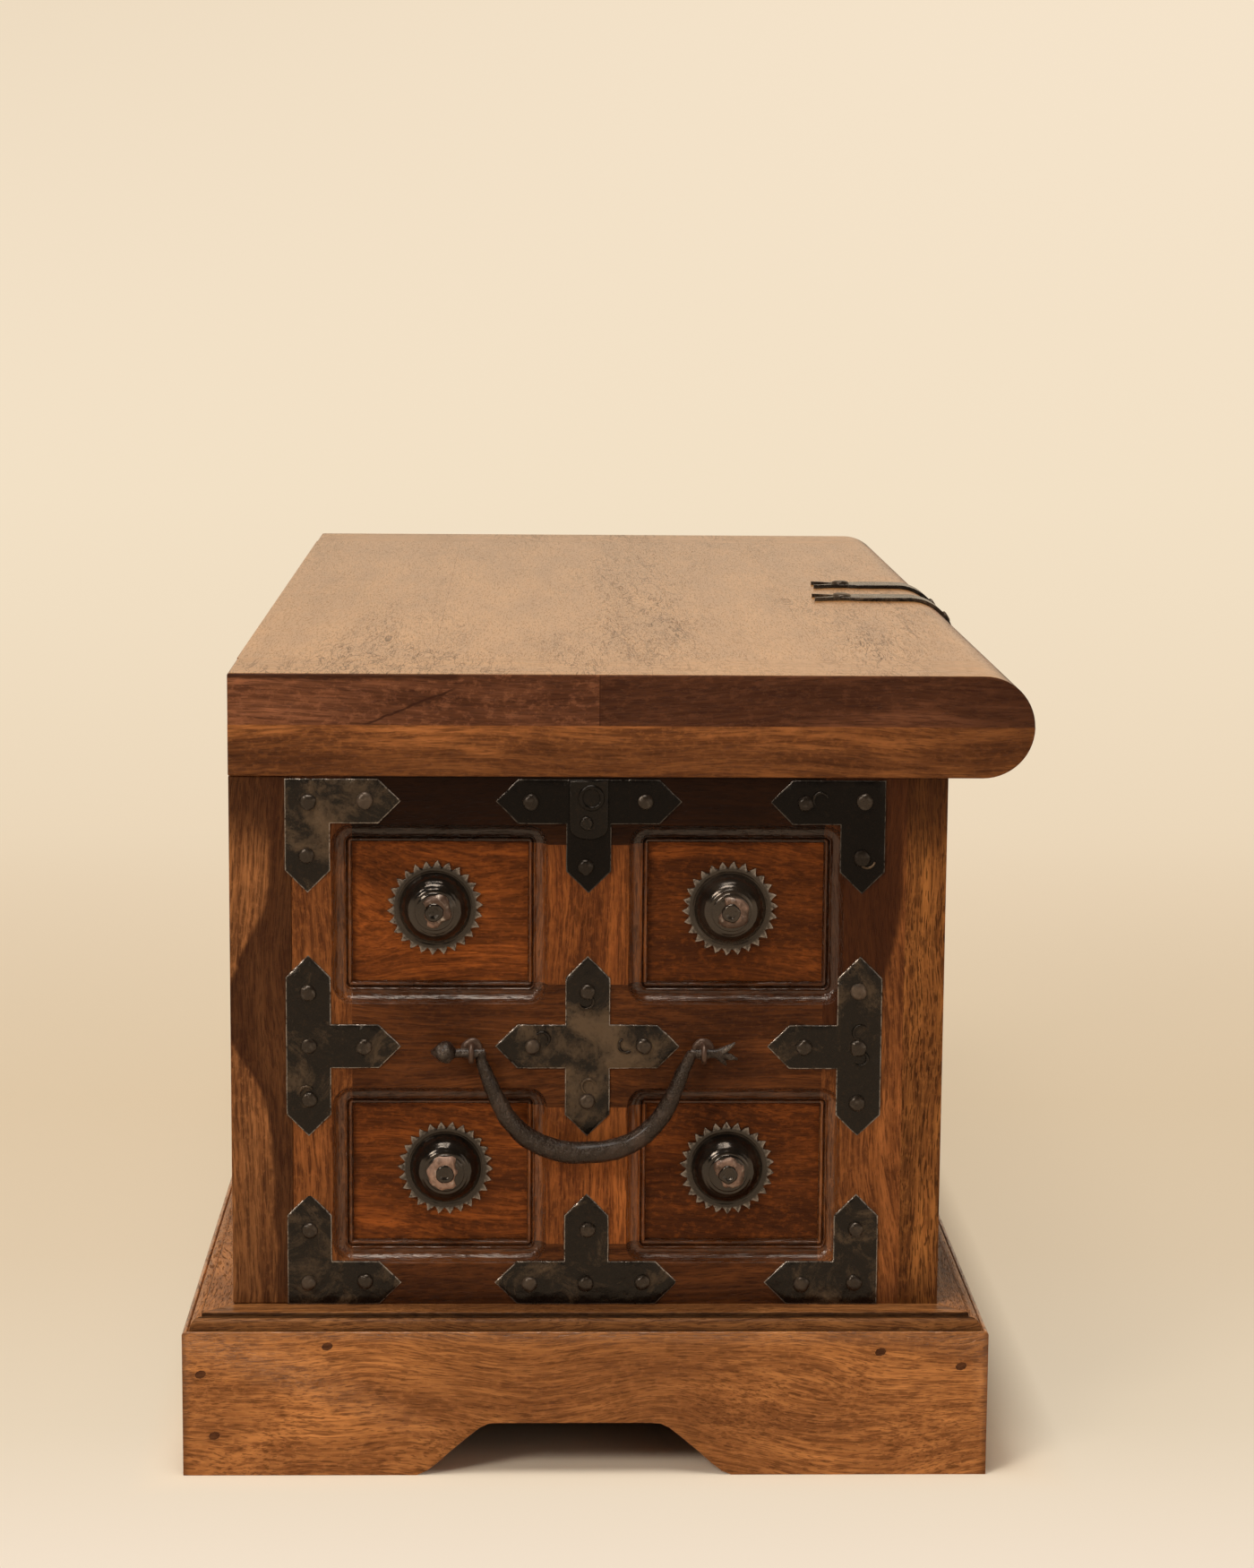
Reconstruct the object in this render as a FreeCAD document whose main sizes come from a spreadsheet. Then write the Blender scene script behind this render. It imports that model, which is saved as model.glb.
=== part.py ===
import FreeCAD, Part
import math
import os

import Sketcher

# A lift-lid trunk of solid wood bound with black iron.  X runs along its length, -Y is the front (the
# hasp side), +Z is up.  The origin is on the floor, under the middle of the whole trunk's box.

doc = FreeCAD.newDocument("trunk")

# ---------------------------------------------------------------- driving dimensions, millimetres, degrees

DRIVING = (
    # case
    ("body_length", 914.4),
    ("body_width", 406.4),
    ("body_height", 307.8),
    ("frame_thickness", 22.8),
    ("back_post_depth", 35.4),
    # plinth
    ("plinth_height", 93.4),
    ("plinth_overhang", 27.0),
    ("plinth_thickness", 34.0),
    ("foot_length", 143.0),
    ("bracket_rise", 31.0),
    ("bracket_slope", 37.4),
    ("bracket_easing", 12.0),
    ("bracket_offset", 6.5),
    ("ledge_width", 9.5),
    ("ledge_step", 1.2),
    ("ovolo_width", 7.8),
    ("ovolo_drop", 6.8),
    ("ovolo_radius", 6.4),
    ("corner_block", 40.0),
    ("peg_radius", 3.6),
    ("peg_corner_inset", 17.5),
    ("peg_inner_inset", 72.0),
    ("peg_high", 68.0),
    ("peg_low", 23.0),
    ("peg_length", 14.0),
    # plain faces left round the panel openings, measured to the outer line of the routed moulding
    ("end_margin", 57.7),
    ("front_margin", 59.25),
    ("top_margin", 27.6),
    ("bottom_margin", 24.2),
    ("muntin_face", 45.6),
    ("rail_face", 48.8),
    ("moulding_width", 11.5),
    ("cove_depth", 7.0),
    ("cove_radius", 6.5),
    ("step_width", 4.0),
    ("step_depth", 8.5),
    ("panel_depth", 11.5),
    ("panel_thickness", 8.0),
    ("groove_reach", 6.0),
    ("panel_play", 0.5),
    ("front_columns", 5),
    # back frame
    ("back_rail", 62.0),
    ("back_muntin", 62.0),
    ("back_panel_depth", 5.0),
    ("back_columns", 3),
    # floor
    ("batten_size", 20.0),
    ("floor_thickness", 14.0),
    ("floor_play", 1.0),
    ("floor_gap", 0.6),
    ("floor_count", 8),
    # iron plates and nails
    ("plate_width", 25.4),
    ("plate_reach", 52.6),
    ("plate_tip", 12.7),
    ("plate_thickness", 1.8),
    ("plate_edge_gap", 1.5),
    ("plate_row_low", 12.9),
    ("plate_inset_front", 48.0),
    ("plate_inset_back", 44.4),
    ("plate_inset_ends", 46.0),
    ("nail_radius", 4.7),
    ("nail_height", 2.4),
    ("nail_place", 32.0),
    # bosses
    ("boss_radius", 27.5),
    ("boss_root", 24.6),
    ("boss_teeth", 26),
    ("boss_rim", 1.8),
    ("dome_radius", 19.8),
    ("dome_height", 13.0),
    ("rivet_radius", 5.6),
    ("rivet_height", 2.6),
    ("boss_rise", 2.0),
    ("boss_drift", 3.0),
    # bail handles
    ("handle_drop", 1.6),
    ("eye_spacing", 132.0),
    ("eye_stand", 11.0),
    ("eye_ring", 5.6),
    ("eye_wire", 2.2),
    ("eye_rose", 6.5),
    ("bail_end_radius", 3.0),
    ("bail_mid_radius", 6.3),
    ("bail_half_span", 59.5),
    ("bail_drop", 58.0),
    ("bail_stub", 73.0),
    ("bail_sections", 12),
    ("finial_radius", 5.4),
    ("finial_length", 14.0),
    ("finial_belly", 4.7),
    ("finial_tip", 1.0),
    ("barb_radius", 4.6),
    ("barb_length", 10.0),
    ("bail_play", 0.5),
    # lid
    ("lid_layer", 29.1),
    ("lid_overhang", 48.5),
    ("lid_end_overhang", 2.0),
    ("cap_width", 72.0),
    ("cap_joint", 5.9),
    ("lid_board_count", 4),
    ("lip_width", 60.0),
    ("front_lip_width", 96.0),
    # lid hinges
    ("hinge_inset", 205.2),
    ("hinge_nail_place", 16.0),
    ("hinge_leaf", 2.5),
    ("knuckle_radius", 5.0),
    ("hinge_pin_radius", 2.5),
    ("knuckle_width", 8.0),
    ("knuckle_gap", 0.4),
    ("hinge_stand", 5.3),
    ("leaf_gap", 0.5),
    ("running_clearance", 0.05),
    # hasp
    ("strap_width", 25.4),
    ("strap_thickness", 2.5),
    ("strap_spacing", 85.0),
    ("strap_run", 90.5),
    ("fishtail_length", 29.0),
    ("fishtail_waist", 8.5),
    ("fishtail_notch", 14.0),
    ("fishtail_prong", 4.5),
    ("hasp_thickness", 2.5),
    ("hasp_shoulder", 46.0),
    ("hasp_tongue_width", 34.0),
    ("hasp_neck", 4.0),
    ("hasp_tip", 17.0),
    ("hasp_pin_end", 1.5),
    ("hasp_tail", 20.0),
    ("slot_width", 12.0),
    ("slot_height", 30.0),
    ("staple_wire", 2.5),
    ("staple_radius", 8.0),
    ("staple_reach", 17.0),
    ("staple_plate_gap", 1.55),
    ("staple_nail_inset", 7.4),
    # what a cutter passes a face by
    ("over_cut", 2.0),
)

sheet = doc.addObject("Spreadsheet::Sheet", "Sheet")
for row, (alias, number) in enumerate(DRIVING, start=1):
    cell = "B%d" % row
    sheet.set("A%d" % row, alias)
    sheet.set(cell, str(number))
    sheet.setAlias(cell, alias)
doc.recompute()


class Size:
    """A length kept twice: its present value, and the sheet expression that gives it."""

    def __init__(self, value, text):
        self.value = float(value)
        self.text = text

    @staticmethod
    def of(other):
        return other if isinstance(other, Size) else Size(other, "(%r)" % float(other))

    def __add__(self, other):
        other = Size.of(other)
        return Size(self.value + other.value, "(%s + %s)" % (self.text, other.text))

    def __sub__(self, other):
        other = Size.of(other)
        return Size(self.value - other.value, "(%s - %s)" % (self.text, other.text))

    def __mul__(self, other):
        other = Size.of(other)
        return Size(self.value * other.value, "(%s * %s)" % (self.text, other.text))

    def __truediv__(self, other):
        other = Size.of(other)
        return Size(self.value / other.value, "(%s / %s)" % (self.text, other.text))

    def __neg__(self):
        return Size(-self.value, "(-%s)" % self.text)

    def __rmul__(self, other):
        return Size.of(other) * self


def size(alias):
    return Size(sheet.get(alias), "Sheet.%s" % alias)


def count(alias):
    return int(round(size(alias).value))


ZERO = Size(0.0, "0")

# ---------------------------------------------------------------- places that the sizes give

strap_thickness = size("strap_thickness")
front_reach = size("body_width") / 2 + size("lid_overhang") + strap_thickness
back_reach = size("body_width") / 2 + size("plinth_overhang")
centre_y = (front_reach - back_reach) / 2  # middle of the case, so that the whole box is centred
front_y = centre_y - size("body_width") / 2
back_y = centre_y + size("body_width") / 2
left_x = -size("body_length") / 2
right_x = size("body_length") / 2
base_z = size("plinth_height")
lid_z = base_z + size("body_height")
middle_z = lid_z + size("lid_layer")
top_z = middle_z + size("lid_layer")

# a cell is a panel with its moulding, an opening is what the moulding leaves free
front_count = count("front_columns")
end_cell = (size("body_width") - size("end_margin") * 2 - size("muntin_face")) / 2
front_cell = (size("body_length") - size("front_margin") * 2
              - size("muntin_face") * (front_count - 1)) / front_count
cell_height = (size("body_height") - size("top_margin") - size("bottom_margin") - size("rail_face")) / 2
end_opening = end_cell - size("moulding_width") * 2
front_opening = front_cell - size("moulding_width") * 2
opening_height = cell_height - size("moulding_width") * 2
end_pitch = end_cell + size("muntin_face")
front_pitch = front_cell + size("muntin_face")
half_muntin = size("muntin_face") / 2 + size("moulding_width")
upper_z = lid_z - size("top_margin") - cell_height / 2
lower_z = base_z + size("bottom_margin") + cell_height / 2
row_heights = (lower_z, upper_z)
rail_z = (lower_z + upper_z) / 2

# middle lines of the plates' bars: at the top, on the middle rail and at the foot
plate_top_z = lid_z - size("plate_edge_gap") - size("plate_width") / 2
plate_low_z = base_z + size("plate_row_low")

hinge_y = back_y + size("hinge_stand")
nose_y = front_y - size("lid_overhang") + size("lid_layer")
hasp_pin_z = lid_z - size("knuckle_radius") - size("leaf_gap")
handle_z = rail_z - size("handle_drop")
eye_x = left_x - size("eye_stand")

# ---------------------------------------------------------------- helpers

TINY = 1e-4



def axes(across, up, out):
    """The turn that takes a piece's local X, Y and Z to these three directions."""
    return FreeCAD.Rotation(FreeCAD.Vector(*across), FreeCAD.Vector(*up), FreeCAD.Vector(*out), "ZXY")


LEFT_FACE = axes((0, -1, 0), (0, 0, 1), (-1, 0, 0))
FRONT_FACE = axes((1, 0, 0), (0, 0, 1), (0, -1, 0))
BACK_FACE = axes((-1, 0, 0), (0, 0, 1), (0, 1, 0))
LEVEL = axes((1, 0, 0), (0, 1, 0), (0, 0, 1))
ALONG_X = axes((0, 1, 0), (0, 0, 1), (1, 0, 0))
# local X up and local Y forward, or forward and down: a turned shape's first part then lies in front
HALF_RING = axes((0, 0, 1), (0, -1, 0), (1, 0, 0))
LOWER_RING = axes((0, -1, 0), (0, 0, -1), (1, 0, 0))
ALONG_Y = axes((0, 0, 1), (1, 0, 0), (0, 1, 0))


def bind(item, name, length):
    item.setExpression(name, length.text)


def place(item, corner, turn=LEVEL):
    item.Placement = FreeCAD.Placement(FreeCAD.Vector(*(part.value for part in corner)), turn)
    for axis, part in zip("xyz", corner):
        bind(item, "Placement.Base.%s" % axis, part)
    return item


def box(name, low, high):
    """A plain board between two corners."""
    item = doc.addObject("Part::Box", name)
    for side, start, end in zip(("Length", "Width", "Height"), low, high):
        bind(item, side, end - start)
    return place(item, low)


def rod(name, base, radius, length, turn=LEVEL, angle=360):
    item = doc.addObject("Part::Cylinder", name)
    bind(item, "Radius", radius)
    bind(item, "Height", length)
    item.Angle = angle
    return place(item, base, turn)


def new_body(name):
    return doc.addObject("PartDesign::Body", name)


def origin_plane(body, role):
    return next(item for item in body.Origin.OriginFeatures if item.Role == role)


def outline(body, name, points, role="XY_Plane", lift=None):
    """A closed outline of straight lines through points, each pair of sizes bound to the sheet."""
    sketch = body.newObject("Sketcher::SketchObject", name)
    sketch.AttachmentSupport = [(origin_plane(body, role), "")]
    sketch.MapMode = "FlatFace"
    if lift is not None:
        bind(sketch, "AttachmentOffset.Base.z", lift)
    corners = [FreeCAD.Vector(across.value, up.value, 0) for across, up in points]
    last = len(corners)
    for index in range(last):
        sketch.addGeometry(Part.LineSegment(corners[index], corners[(index + 1) % last]))
    for index in range(last):
        sketch.addConstraint(Sketcher.Constraint("Coincident", index, 2, (index + 1) % last, 1))
    for index, point in enumerate(points):
        for kind, part in zip(("DistanceX", "DistanceY"), point):
            bound = sketch.addConstraint(Sketcher.Constraint(kind, index, 1, part.value))
            bind(sketch, "Constraints[%d]" % bound, part)
    return sketch


def rectangle(half_across, half_up):
    return (
        (-half_across, -half_up),
        (half_across, -half_up),
        (half_across, half_up),
        (-half_across, half_up),
    )


def pad(body, name, sketch, length, downward=False):
    item = body.newObject("PartDesign::Pad", name)
    item.Profile = sketch
    bind(item, "Length", length)
    item.Reversed = downward
    body.Tip = item
    doc.recompute()
    return item


def pocket(body, name, sketch, downward=False):
    """Cuts a sketch right through the body, and raises an error if that removes nothing."""
    before = body.Shape.Volume
    item = body.newObject("PartDesign::Pocket", name)
    item.Profile = sketch
    item.Type = "ThroughAll"
    item.Reversed = downward
    body.Tip = item
    doc.recompute()
    if body.Shape.Volume >= before:
        raise ValueError("%s removes nothing" % name)
    return item


def fillet(body, name, base, wanted, radius):
    """Rounds each edge of the base feature that wanted says yes to."""
    edges = ["Edge%d" % number for number, edge in enumerate(base.Shape.Edges, start=1) if wanted(edge)]
    item = body.newObject("PartDesign::Fillet", name)
    item.Base = (base, edges)
    bind(item, "Radius", radius)
    body.Tip = item
    doc.recompute()
    return item


def at_height(height):
    """A test for edges that lie wholly at one height."""
    def test(edge):
        limits = edge.BoundBox
        return abs(limits.ZMin - height.value) < TINY and abs(limits.ZMax - height.value) < TINY
    return test


def upright(edge):
    limits = edge.BoundBox
    return limits.XLength < TINY and limits.YLength < TINY


def join(name, pieces):
    item = doc.addObject("Part::MultiFuse", name)
    item.Shapes = pieces
    return item


def cut(name, base, tool):
    item = doc.addObject("Part::Cut", name)
    item.Base = base
    item.Tool = tool
    return item


def group(name, pieces):
    """One node of several separate solids."""
    item = doc.addObject("Part::Compound", name)
    item.Links = pieces
    return item


def mirrored(name, source):
    """The same piece at the other end of the trunk."""
    item = doc.addObject("Part::Mirroring", name)
    item.Source = source
    item.Base = FreeCAD.Vector(0, 0, 0)
    item.Normal = FreeCAD.Vector(1, 0, 0)
    return item


def copies(name, master, places):
    """A master shape repeated at each (point, turn) of places."""
    doc.recompute()
    shapes = []
    for point, turn in places:
        shape = master.Shape.copy()
        move = FreeCAD.Placement(FreeCAD.Vector(*(part.value for part in point)), turn)
        shape.Placement = move.multiply(shape.Placement)
        shapes.append(shape)
    item = doc.addObject("Part::Feature", name)
    item.Shape = Part.makeCompound(shapes)
    return item


nodes = []


def node(item):
    nodes.append(item)
    return item


# ---------------------------------------------------------------- frames with sunk panels


def opening_cutter(name, opening):
    """What is routed, grooved and sawn out of a frame for one panel; the frame's face is at z = -over_cut."""
    over = size("over_cut")
    cove = new_body(name + "_cove")
    half_across = opening / 2 + size("moulding_width")
    half_up = cell_height / 2
    slab = pad(cove, name + "_cove_slab", outline(cove, name + "_cove_plan", rectangle(half_across, half_up)),
               over + size("cove_depth"), True)
    rounded = fillet(cove, name + "_cove_corners", slab, upright, size("moulding_width"))
    fillet(cove, name + "_cove_round", rounded, at_height(-(over + size("cove_depth"))), size("cove_radius"))
    step_across = opening / 2 + size("step_width")
    step_up = opening_height / 2 + size("step_width")
    step = box(name + "_step",
               (-step_across, -step_up, -(over + size("step_depth"))), (step_across, step_up, ZERO))
    through = box(name + "_through",
                  (-opening / 2, -opening_height / 2, -(over * 2 + size("frame_thickness"))),
                  (opening / 2, opening_height / 2, ZERO))
    groove_across = opening / 2 + size("groove_reach")
    groove_up = opening_height / 2 + size("groove_reach")
    groove_top = -(over + size("panel_depth"))
    groove = box(name + "_groove",
                 (-groove_across, -groove_up, groove_top - size("panel_thickness")),
                 (groove_across, groove_up, groove_top))
    return join(name, [cove, step, through, groove])


def panel_master(name, opening):
    """A flat panel that reaches into the groove on all sides, its shown face at z = 0."""
    reach = size("groove_reach") - size("panel_play")
    half_across = opening / 2 + reach
    half_up = opening_height / 2 + reach
    return box(name, (-half_across, -half_up, -size("panel_thickness")), (half_across, half_up, ZERO))


end_columns = (centre_y - end_pitch / 2, centre_y + end_pitch / 2)
front_centres = [front_pitch * (index - (front_count - 1) / 2) for index in range(front_count)]

left_openings = copies("left_openings", opening_cutter("end_cutter", end_opening),
                       [((left_x - size("over_cut"), across, up), LEFT_FACE)
                        for across in end_columns for up in row_heights])
front_openings = copies("front_openings", opening_cutter("front_cutter", front_opening),
                        [((across, front_y - size("over_cut"), up), FRONT_FACE)
                         for across in front_centres for up in row_heights])


def frame_levels():
    """Heights of the top, middle and bottom rails of a panelled frame, low and high."""
    half = opening_height / 2
    return {
        "top": (upper_z + half, lid_z),
        "middle": (lower_z + half, upper_z - half),
        "bottom": (base_z, lower_z - half),
    }


def left_end():
    """The end frame at -X, between the front frame and the back post."""
    outer = left_x
    inner = left_x + size("frame_thickness")
    start = front_y + size("frame_thickness")
    stop = back_y - size("back_post_depth")
    first = end_columns[0] - end_opening / 2
    last = end_columns[1] + end_opening / 2
    stiles = group("left_stile_blanks", [
        box("left_front_stile_blank", (outer, start, base_z), (inner, first, lid_z)),
        box("left_back_stile_blank", (outer, last, base_z), (inner, stop, lid_z)),
    ])
    made = [cut("left_stiles", stiles, left_openings)]
    for name, (low, high) in frame_levels().items():
        blank = box("left_%s_rail_blank" % name, (outer, first, low), (inner, last, high))
        made.append(cut("left_%s_rail" % name, blank, left_openings))
    muntins = group("left_muntin_blanks", [
        box("left_%s_muntin_blank" % name, (outer, centre_y - half_muntin, height - opening_height / 2),
            (inner, centre_y + half_muntin, height + opening_height / 2))
        for name, height in (("lower", lower_z), ("upper", upper_z))
    ])
    made.append(cut("left_muntins", muntins, left_openings))
    made.append(copies("left_panels", panel_master("end_panel", end_opening),
                       [((left_x + size("panel_depth"), across, up), LEFT_FACE)
                        for across in end_columns for up in row_heights]))
    return made


def front_frame():
    """The front frame, which covers the edges of both end frames."""
    outer = front_y
    inner = front_y + size("frame_thickness")
    first = front_centres[0] - front_opening / 2
    last = front_centres[-1] + front_opening / 2
    stiles = group("front_stile_blanks", [
        box("front_left_stile_blank", (left_x, outer, base_z), (first, inner, lid_z)),
        box("front_right_stile_blank", (last, outer, base_z), (right_x, inner, lid_z)),
    ])
    made = [cut("front_stiles", stiles, front_openings)]
    for name, (low, high) in frame_levels().items():
        blank = box("front_%s_rail_blank" % name, (first, outer, low), (last, inner, high))
        made.append(cut("front_%s_rail" % name, blank, front_openings))
    blanks = []
    for index in range(front_count - 1):
        middle = (front_centres[index] + front_centres[index + 1]) / 2
        for name, height in (("lower", lower_z), ("upper", upper_z)):
            blanks.append(box("front_%s_muntin_blank_%d" % (name, index + 1),
                              (middle - half_muntin, outer, height - opening_height / 2),
                              (middle + half_muntin, inner, height + opening_height / 2)))
    made.append(cut("front_muntins", group("front_muntin_blanks", blanks), front_openings))
    made.append(copies("front_panels", panel_master("front_panel", front_opening),
                       [((across, front_y + size("panel_depth"), up), FRONT_FACE)
                        for across in front_centres for up in row_heights]))
    return made


def back_frame():
    """Posts that show at the ends, and a plain frame with flat panels between them."""
    thickness = size("frame_thickness")
    inner = back_y - thickness
    first = left_x + thickness
    last = right_x - thickness
    low = base_z + size("back_rail")
    high = lid_z - size("back_rail")
    columns = count("back_columns")
    clear = (last - first - size("back_muntin") * (columns - 1)) / columns
    reach = size("groove_reach")
    face = back_y - size("back_panel_depth")
    rear = face - size("panel_thickness")
    play = size("panel_play")
    grooves = []
    panels = []
    muntins = []
    for index in range(columns):
        start = first + (clear + size("back_muntin")) * index
        stop = start + clear
        name = str(index + 1)
        grooves.append(box("back_groove_" + name, (start - reach, rear, low - reach),
                           (stop + reach, face, high + reach)))
        panels.append(box("back_panel_" + name, (start - reach + play, rear, low - reach + play),
                          (stop + reach - play, face, high + reach - play)))
        if index:
            muntins.append(box("back_muntin_blank_" + name, (start - size("back_muntin"), inner, low),
                               (start, back_y, high)))
    tool = group("back_grooves", grooves)
    post_y = back_y - size("back_post_depth")
    posts = group("back_post_blanks", [
        box("back_left_post_blank", (left_x, post_y, base_z), (first, back_y, lid_z)),
        box("back_right_post_blank", (last, post_y, base_z), (right_x, back_y, lid_z)),
    ])
    top_rail = box("back_top_rail_blank", (first, inner, high), (last, back_y, lid_z))
    bottom_rail = box("back_bottom_rail_blank", (first, inner, base_z), (last, back_y, low))
    return [
        cut("back_posts", posts, tool),
        cut("back_top_rail", top_rail, tool),
        cut("back_bottom_rail", bottom_rail, tool),
        cut("back_muntins", group("back_muntin_blanks", muntins), tool),
        group("back_panels", panels),
    ]


for item in front_frame() + back_frame():
    node(item)
for item in left_end():
    node(item)
    node(mirrored(item.Name.replace("left", "right"), item))

# ---------------------------------------------------------------- floor


def floor():
    """Boards from front to back, on a long batten inside each long frame."""
    inside_left = left_x + size("frame_thickness")
    inside_right = right_x - size("frame_thickness")
    inside_front = front_y + size("frame_thickness")
    inside_back = back_y - size("frame_thickness")
    batten = size("batten_size")
    high = base_z + batten
    node(group("floor_battens", [
        box("front_batten", (inside_left, inside_front, base_z), (inside_right, inside_front + batten, high)),
        box("back_batten", (inside_left, inside_back - batten, base_z), (inside_right, inside_back, high)),
    ]))
    boards = count("floor_count")
    play = size("floor_play")
    gap = size("floor_gap")
    width = (inside_right - inside_left - play * 2 - gap * (boards - 1)) / boards
    pieces = []
    for index in range(boards):
        start = inside_left + play + (width + gap) * index
        pieces.append(box("floor_board_%d" % (index + 1), (start, inside_front + play, high),
                          (start + width, inside_back - play, high + size("floor_thickness"))))
    node(group("floor_boards", pieces))


floor()

# ---------------------------------------------------------------- plinth


def plinth_board(name, half_length, offset, corner, turn):
    """A mitred board with its outer face on local y = 0: local X along it, local Y inward, local Z up."""
    thick = size("plinth_thickness")
    height = base_z
    board = new_body(name)
    plan = (
        (-half_length, ZERO),
        (half_length, ZERO),
        (half_length - thick, thick),
        (-half_length + thick, thick),
    )
    top = pad(board, name + "_plan", outline(board, name + "_mitred", plan), height)
    # the step below the flat ledge, and the face below the ovolo, leave a corner that is then rounded
    step = (
        (-size("over_cut"), height - size("ledge_step")),
        (size("ledge_width"), height - size("ledge_step")),
        (size("ledge_width"), height + size("over_cut")),
        (-size("over_cut"), height + size("over_cut")),
    )
    shelf = size("ledge_width") - size("ovolo_width")
    drop = height - size("ledge_step") - size("ovolo_drop")
    rebate = (
        (-size("over_cut"), drop),
        (shelf, drop),
        (shelf, height),
        (-size("over_cut"), height),
    )
    for label, points in (("step", step), ("rebate", rebate)):
        sketch = outline(board, "%s_%s_profile" % (name, label), points, "YZ_Plane",
                         -half_length - size("over_cut"))
        groove = board.newObject("PartDesign::Pocket", "%s_%s" % (name, label))
        groove.Profile = sketch
        groove.Reversed = True
        bind(groove, "Length", (half_length + size("over_cut")) * 2)
        board.Tip = groove
        doc.recompute()
    arris_z = (height - size("ledge_step")).value
    arris_y = shelf.value

    def ovolo_edge(edge):
        limits = edge.BoundBox
        return (abs(limits.ZMin - arris_z) < TINY and abs(limits.ZMax - arris_z) < TINY
                and abs(limits.YMin - arris_y) < TINY and abs(limits.YMax - arris_y) < TINY)

    fillet(board, name + "_ovolo", board.Tip, ovolo_edge, size("ovolo_radius"))
    low = half_length - size("foot_length")
    high = low - size("bracket_slope")
    bracket = (
        (offset - low, ZERO),
        (offset + low, ZERO),
        (offset + high, size("bracket_rise")),
        (offset - high, size("bracket_rise")),
    )
    sketch = outline(board, name + "_bracket_outline", bracket, "XZ_Plane")
    pocket(board, name + "_bracket", sketch)
    ends = ((offset - low).value, (offset + low).value)

    def foot_edge(edge):
        limits = edge.BoundBox
        at_foot = min(abs(limits.XMin - end) for end in ends) < TINY
        return at_foot and limits.ZMax < TINY and limits.XLength < TINY

    fillet(board, name + "_easing", board.Tip, foot_edge, size("bracket_easing"))
    return place(board, corner, turn)


half_long = size("body_length") / 2 + size("plinth_overhang")
half_short = size("body_width") / 2 + size("plinth_overhang")
plinth_front_y = front_y - size("plinth_overhang")
plinth_back_y = back_y + size("plinth_overhang")
plinth_left_x = -half_long

SIDEWAYS = axes((0, -1, 0), (1, 0, 0), (0, 0, 1))
ABOUT = axes((-1, 0, 0), (0, -1, 0), (0, 0, 1))


def peg(name, point, turn):
    """A peg flush with the face at point; its local Z points out of the board."""
    return rod(name, point, size("peg_radius"), size("peg_length"), turn)


def plinth():
    near = size("peg_corner_inset")
    far = size("peg_inner_inset")
    high = size("peg_high")
    low = size("peg_low")
    # distances from the middle of a face, and heights
    long_pegs = [(sign * (half_long - inset), height)
                 for sign in (-1, 1) for inset, height in ((near, high), (near, low), (far, high))]
    short_pegs = [(-(half_short - near), high), (-(half_short - far), high),
                  (half_short - near, high), (half_short - near, low), (half_short - far, high)]
    depth = size("peg_length")
    front = [peg("front_peg_%d" % index, (across, plinth_front_y + depth, height), FRONT_FACE)
             for index, (across, height) in enumerate(long_pegs)]
    back = [peg("back_peg_%d" % index, (across, plinth_back_y - depth, height), BACK_FACE)
            for index, (across, height) in enumerate(long_pegs)]
    left = group("left_pegs", [
        peg("left_peg_%d" % index, (plinth_left_x + depth, centre_y + across, height), LEFT_FACE)
        for index, (across, height) in enumerate(short_pegs)])
    front_board = plinth_board("front_board", half_long, ZERO, (ZERO, plinth_front_y, ZERO), LEVEL)
    back_board = plinth_board("back_board", half_long, ZERO, (ZERO, plinth_back_y, ZERO), ABOUT)
    left_board = plinth_board("left_board", half_short, -size("bracket_offset"),
                              (plinth_left_x, centre_y, ZERO), SIDEWAYS)
    front_pegs = group("front_pegs", front)
    back_pegs = group("back_pegs", back)
    left_drilled = cut("plinth_left", left_board, left)
    node(cut("plinth_front", front_board, front_pegs))
    node(cut("plinth_back", back_board, back_pegs))
    node(left_drilled)
    node(mirrored("plinth_right", left_drilled))
    node(group("plinth_pegs", [front_pegs, back_pegs, left, mirrored("right_pegs", left)]))
    thick = size("plinth_thickness")
    side = size("corner_block")
    blocks = []
    for name, x_low in (("left", plinth_left_x + thick), ("right", half_long - thick - side)):
        for end, y_low in (("front", plinth_front_y + thick), ("back", plinth_back_y - thick - side)):
            blocks.append(box("%s_%s_block" % (end, name), (x_low, y_low, ZERO),
                              (x_low + side, y_low + side, base_z)))
    node(group("plinth_corner_blocks", blocks))


plinth()

# ---------------------------------------------------------------- iron plates and nails


def cap(name, radius, height, lift=ZERO):
    """A dome: the top of a ball, of a base radius and a height, standing on local z = lift."""
    item = doc.addObject("Part::Sphere", name)
    ball = (radius * radius + height * height) / (height * 2)
    bind(item, "Radius", ball)
    item.setExpression("Angle1", "asin((%s - %s) / %s)" % (ball.text, height.text, ball.text))
    place(item, (ZERO, ZERO, lift + height - ball))
    return item


nail = cap("nail_master", size("nail_radius"), size("nail_height"))

EAST, NORTH, WEST, SOUTH = range(4)
QUARTER = ((1, 0), (0, 1), (-1, 0), (0, -1))


def turned(across, up, quarter):
    """A point turned by quarter turns about the plate's middle."""
    cosine, sine = QUARTER[quarter]
    return (across * cosine - up * sine, across * sine + up * cosine)


def plate_outline(arms, reach):
    """Round a plate whose bars run from its middle towards each side in arms and end in points."""
    half = size("plate_width") / 2
    shoulder = reach - size("plate_tip")
    points = []
    for side in range(4):
        if (side in arms) == ((side - 1) % 4 in arms):
            points.append(turned(half, -half, side))
        if side in arms:
            points.append(turned(shoulder, -half, side))
            points.append(turned(reach, ZERO, side))
            points.append(turned(shoulder, half, side))
    return points


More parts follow.
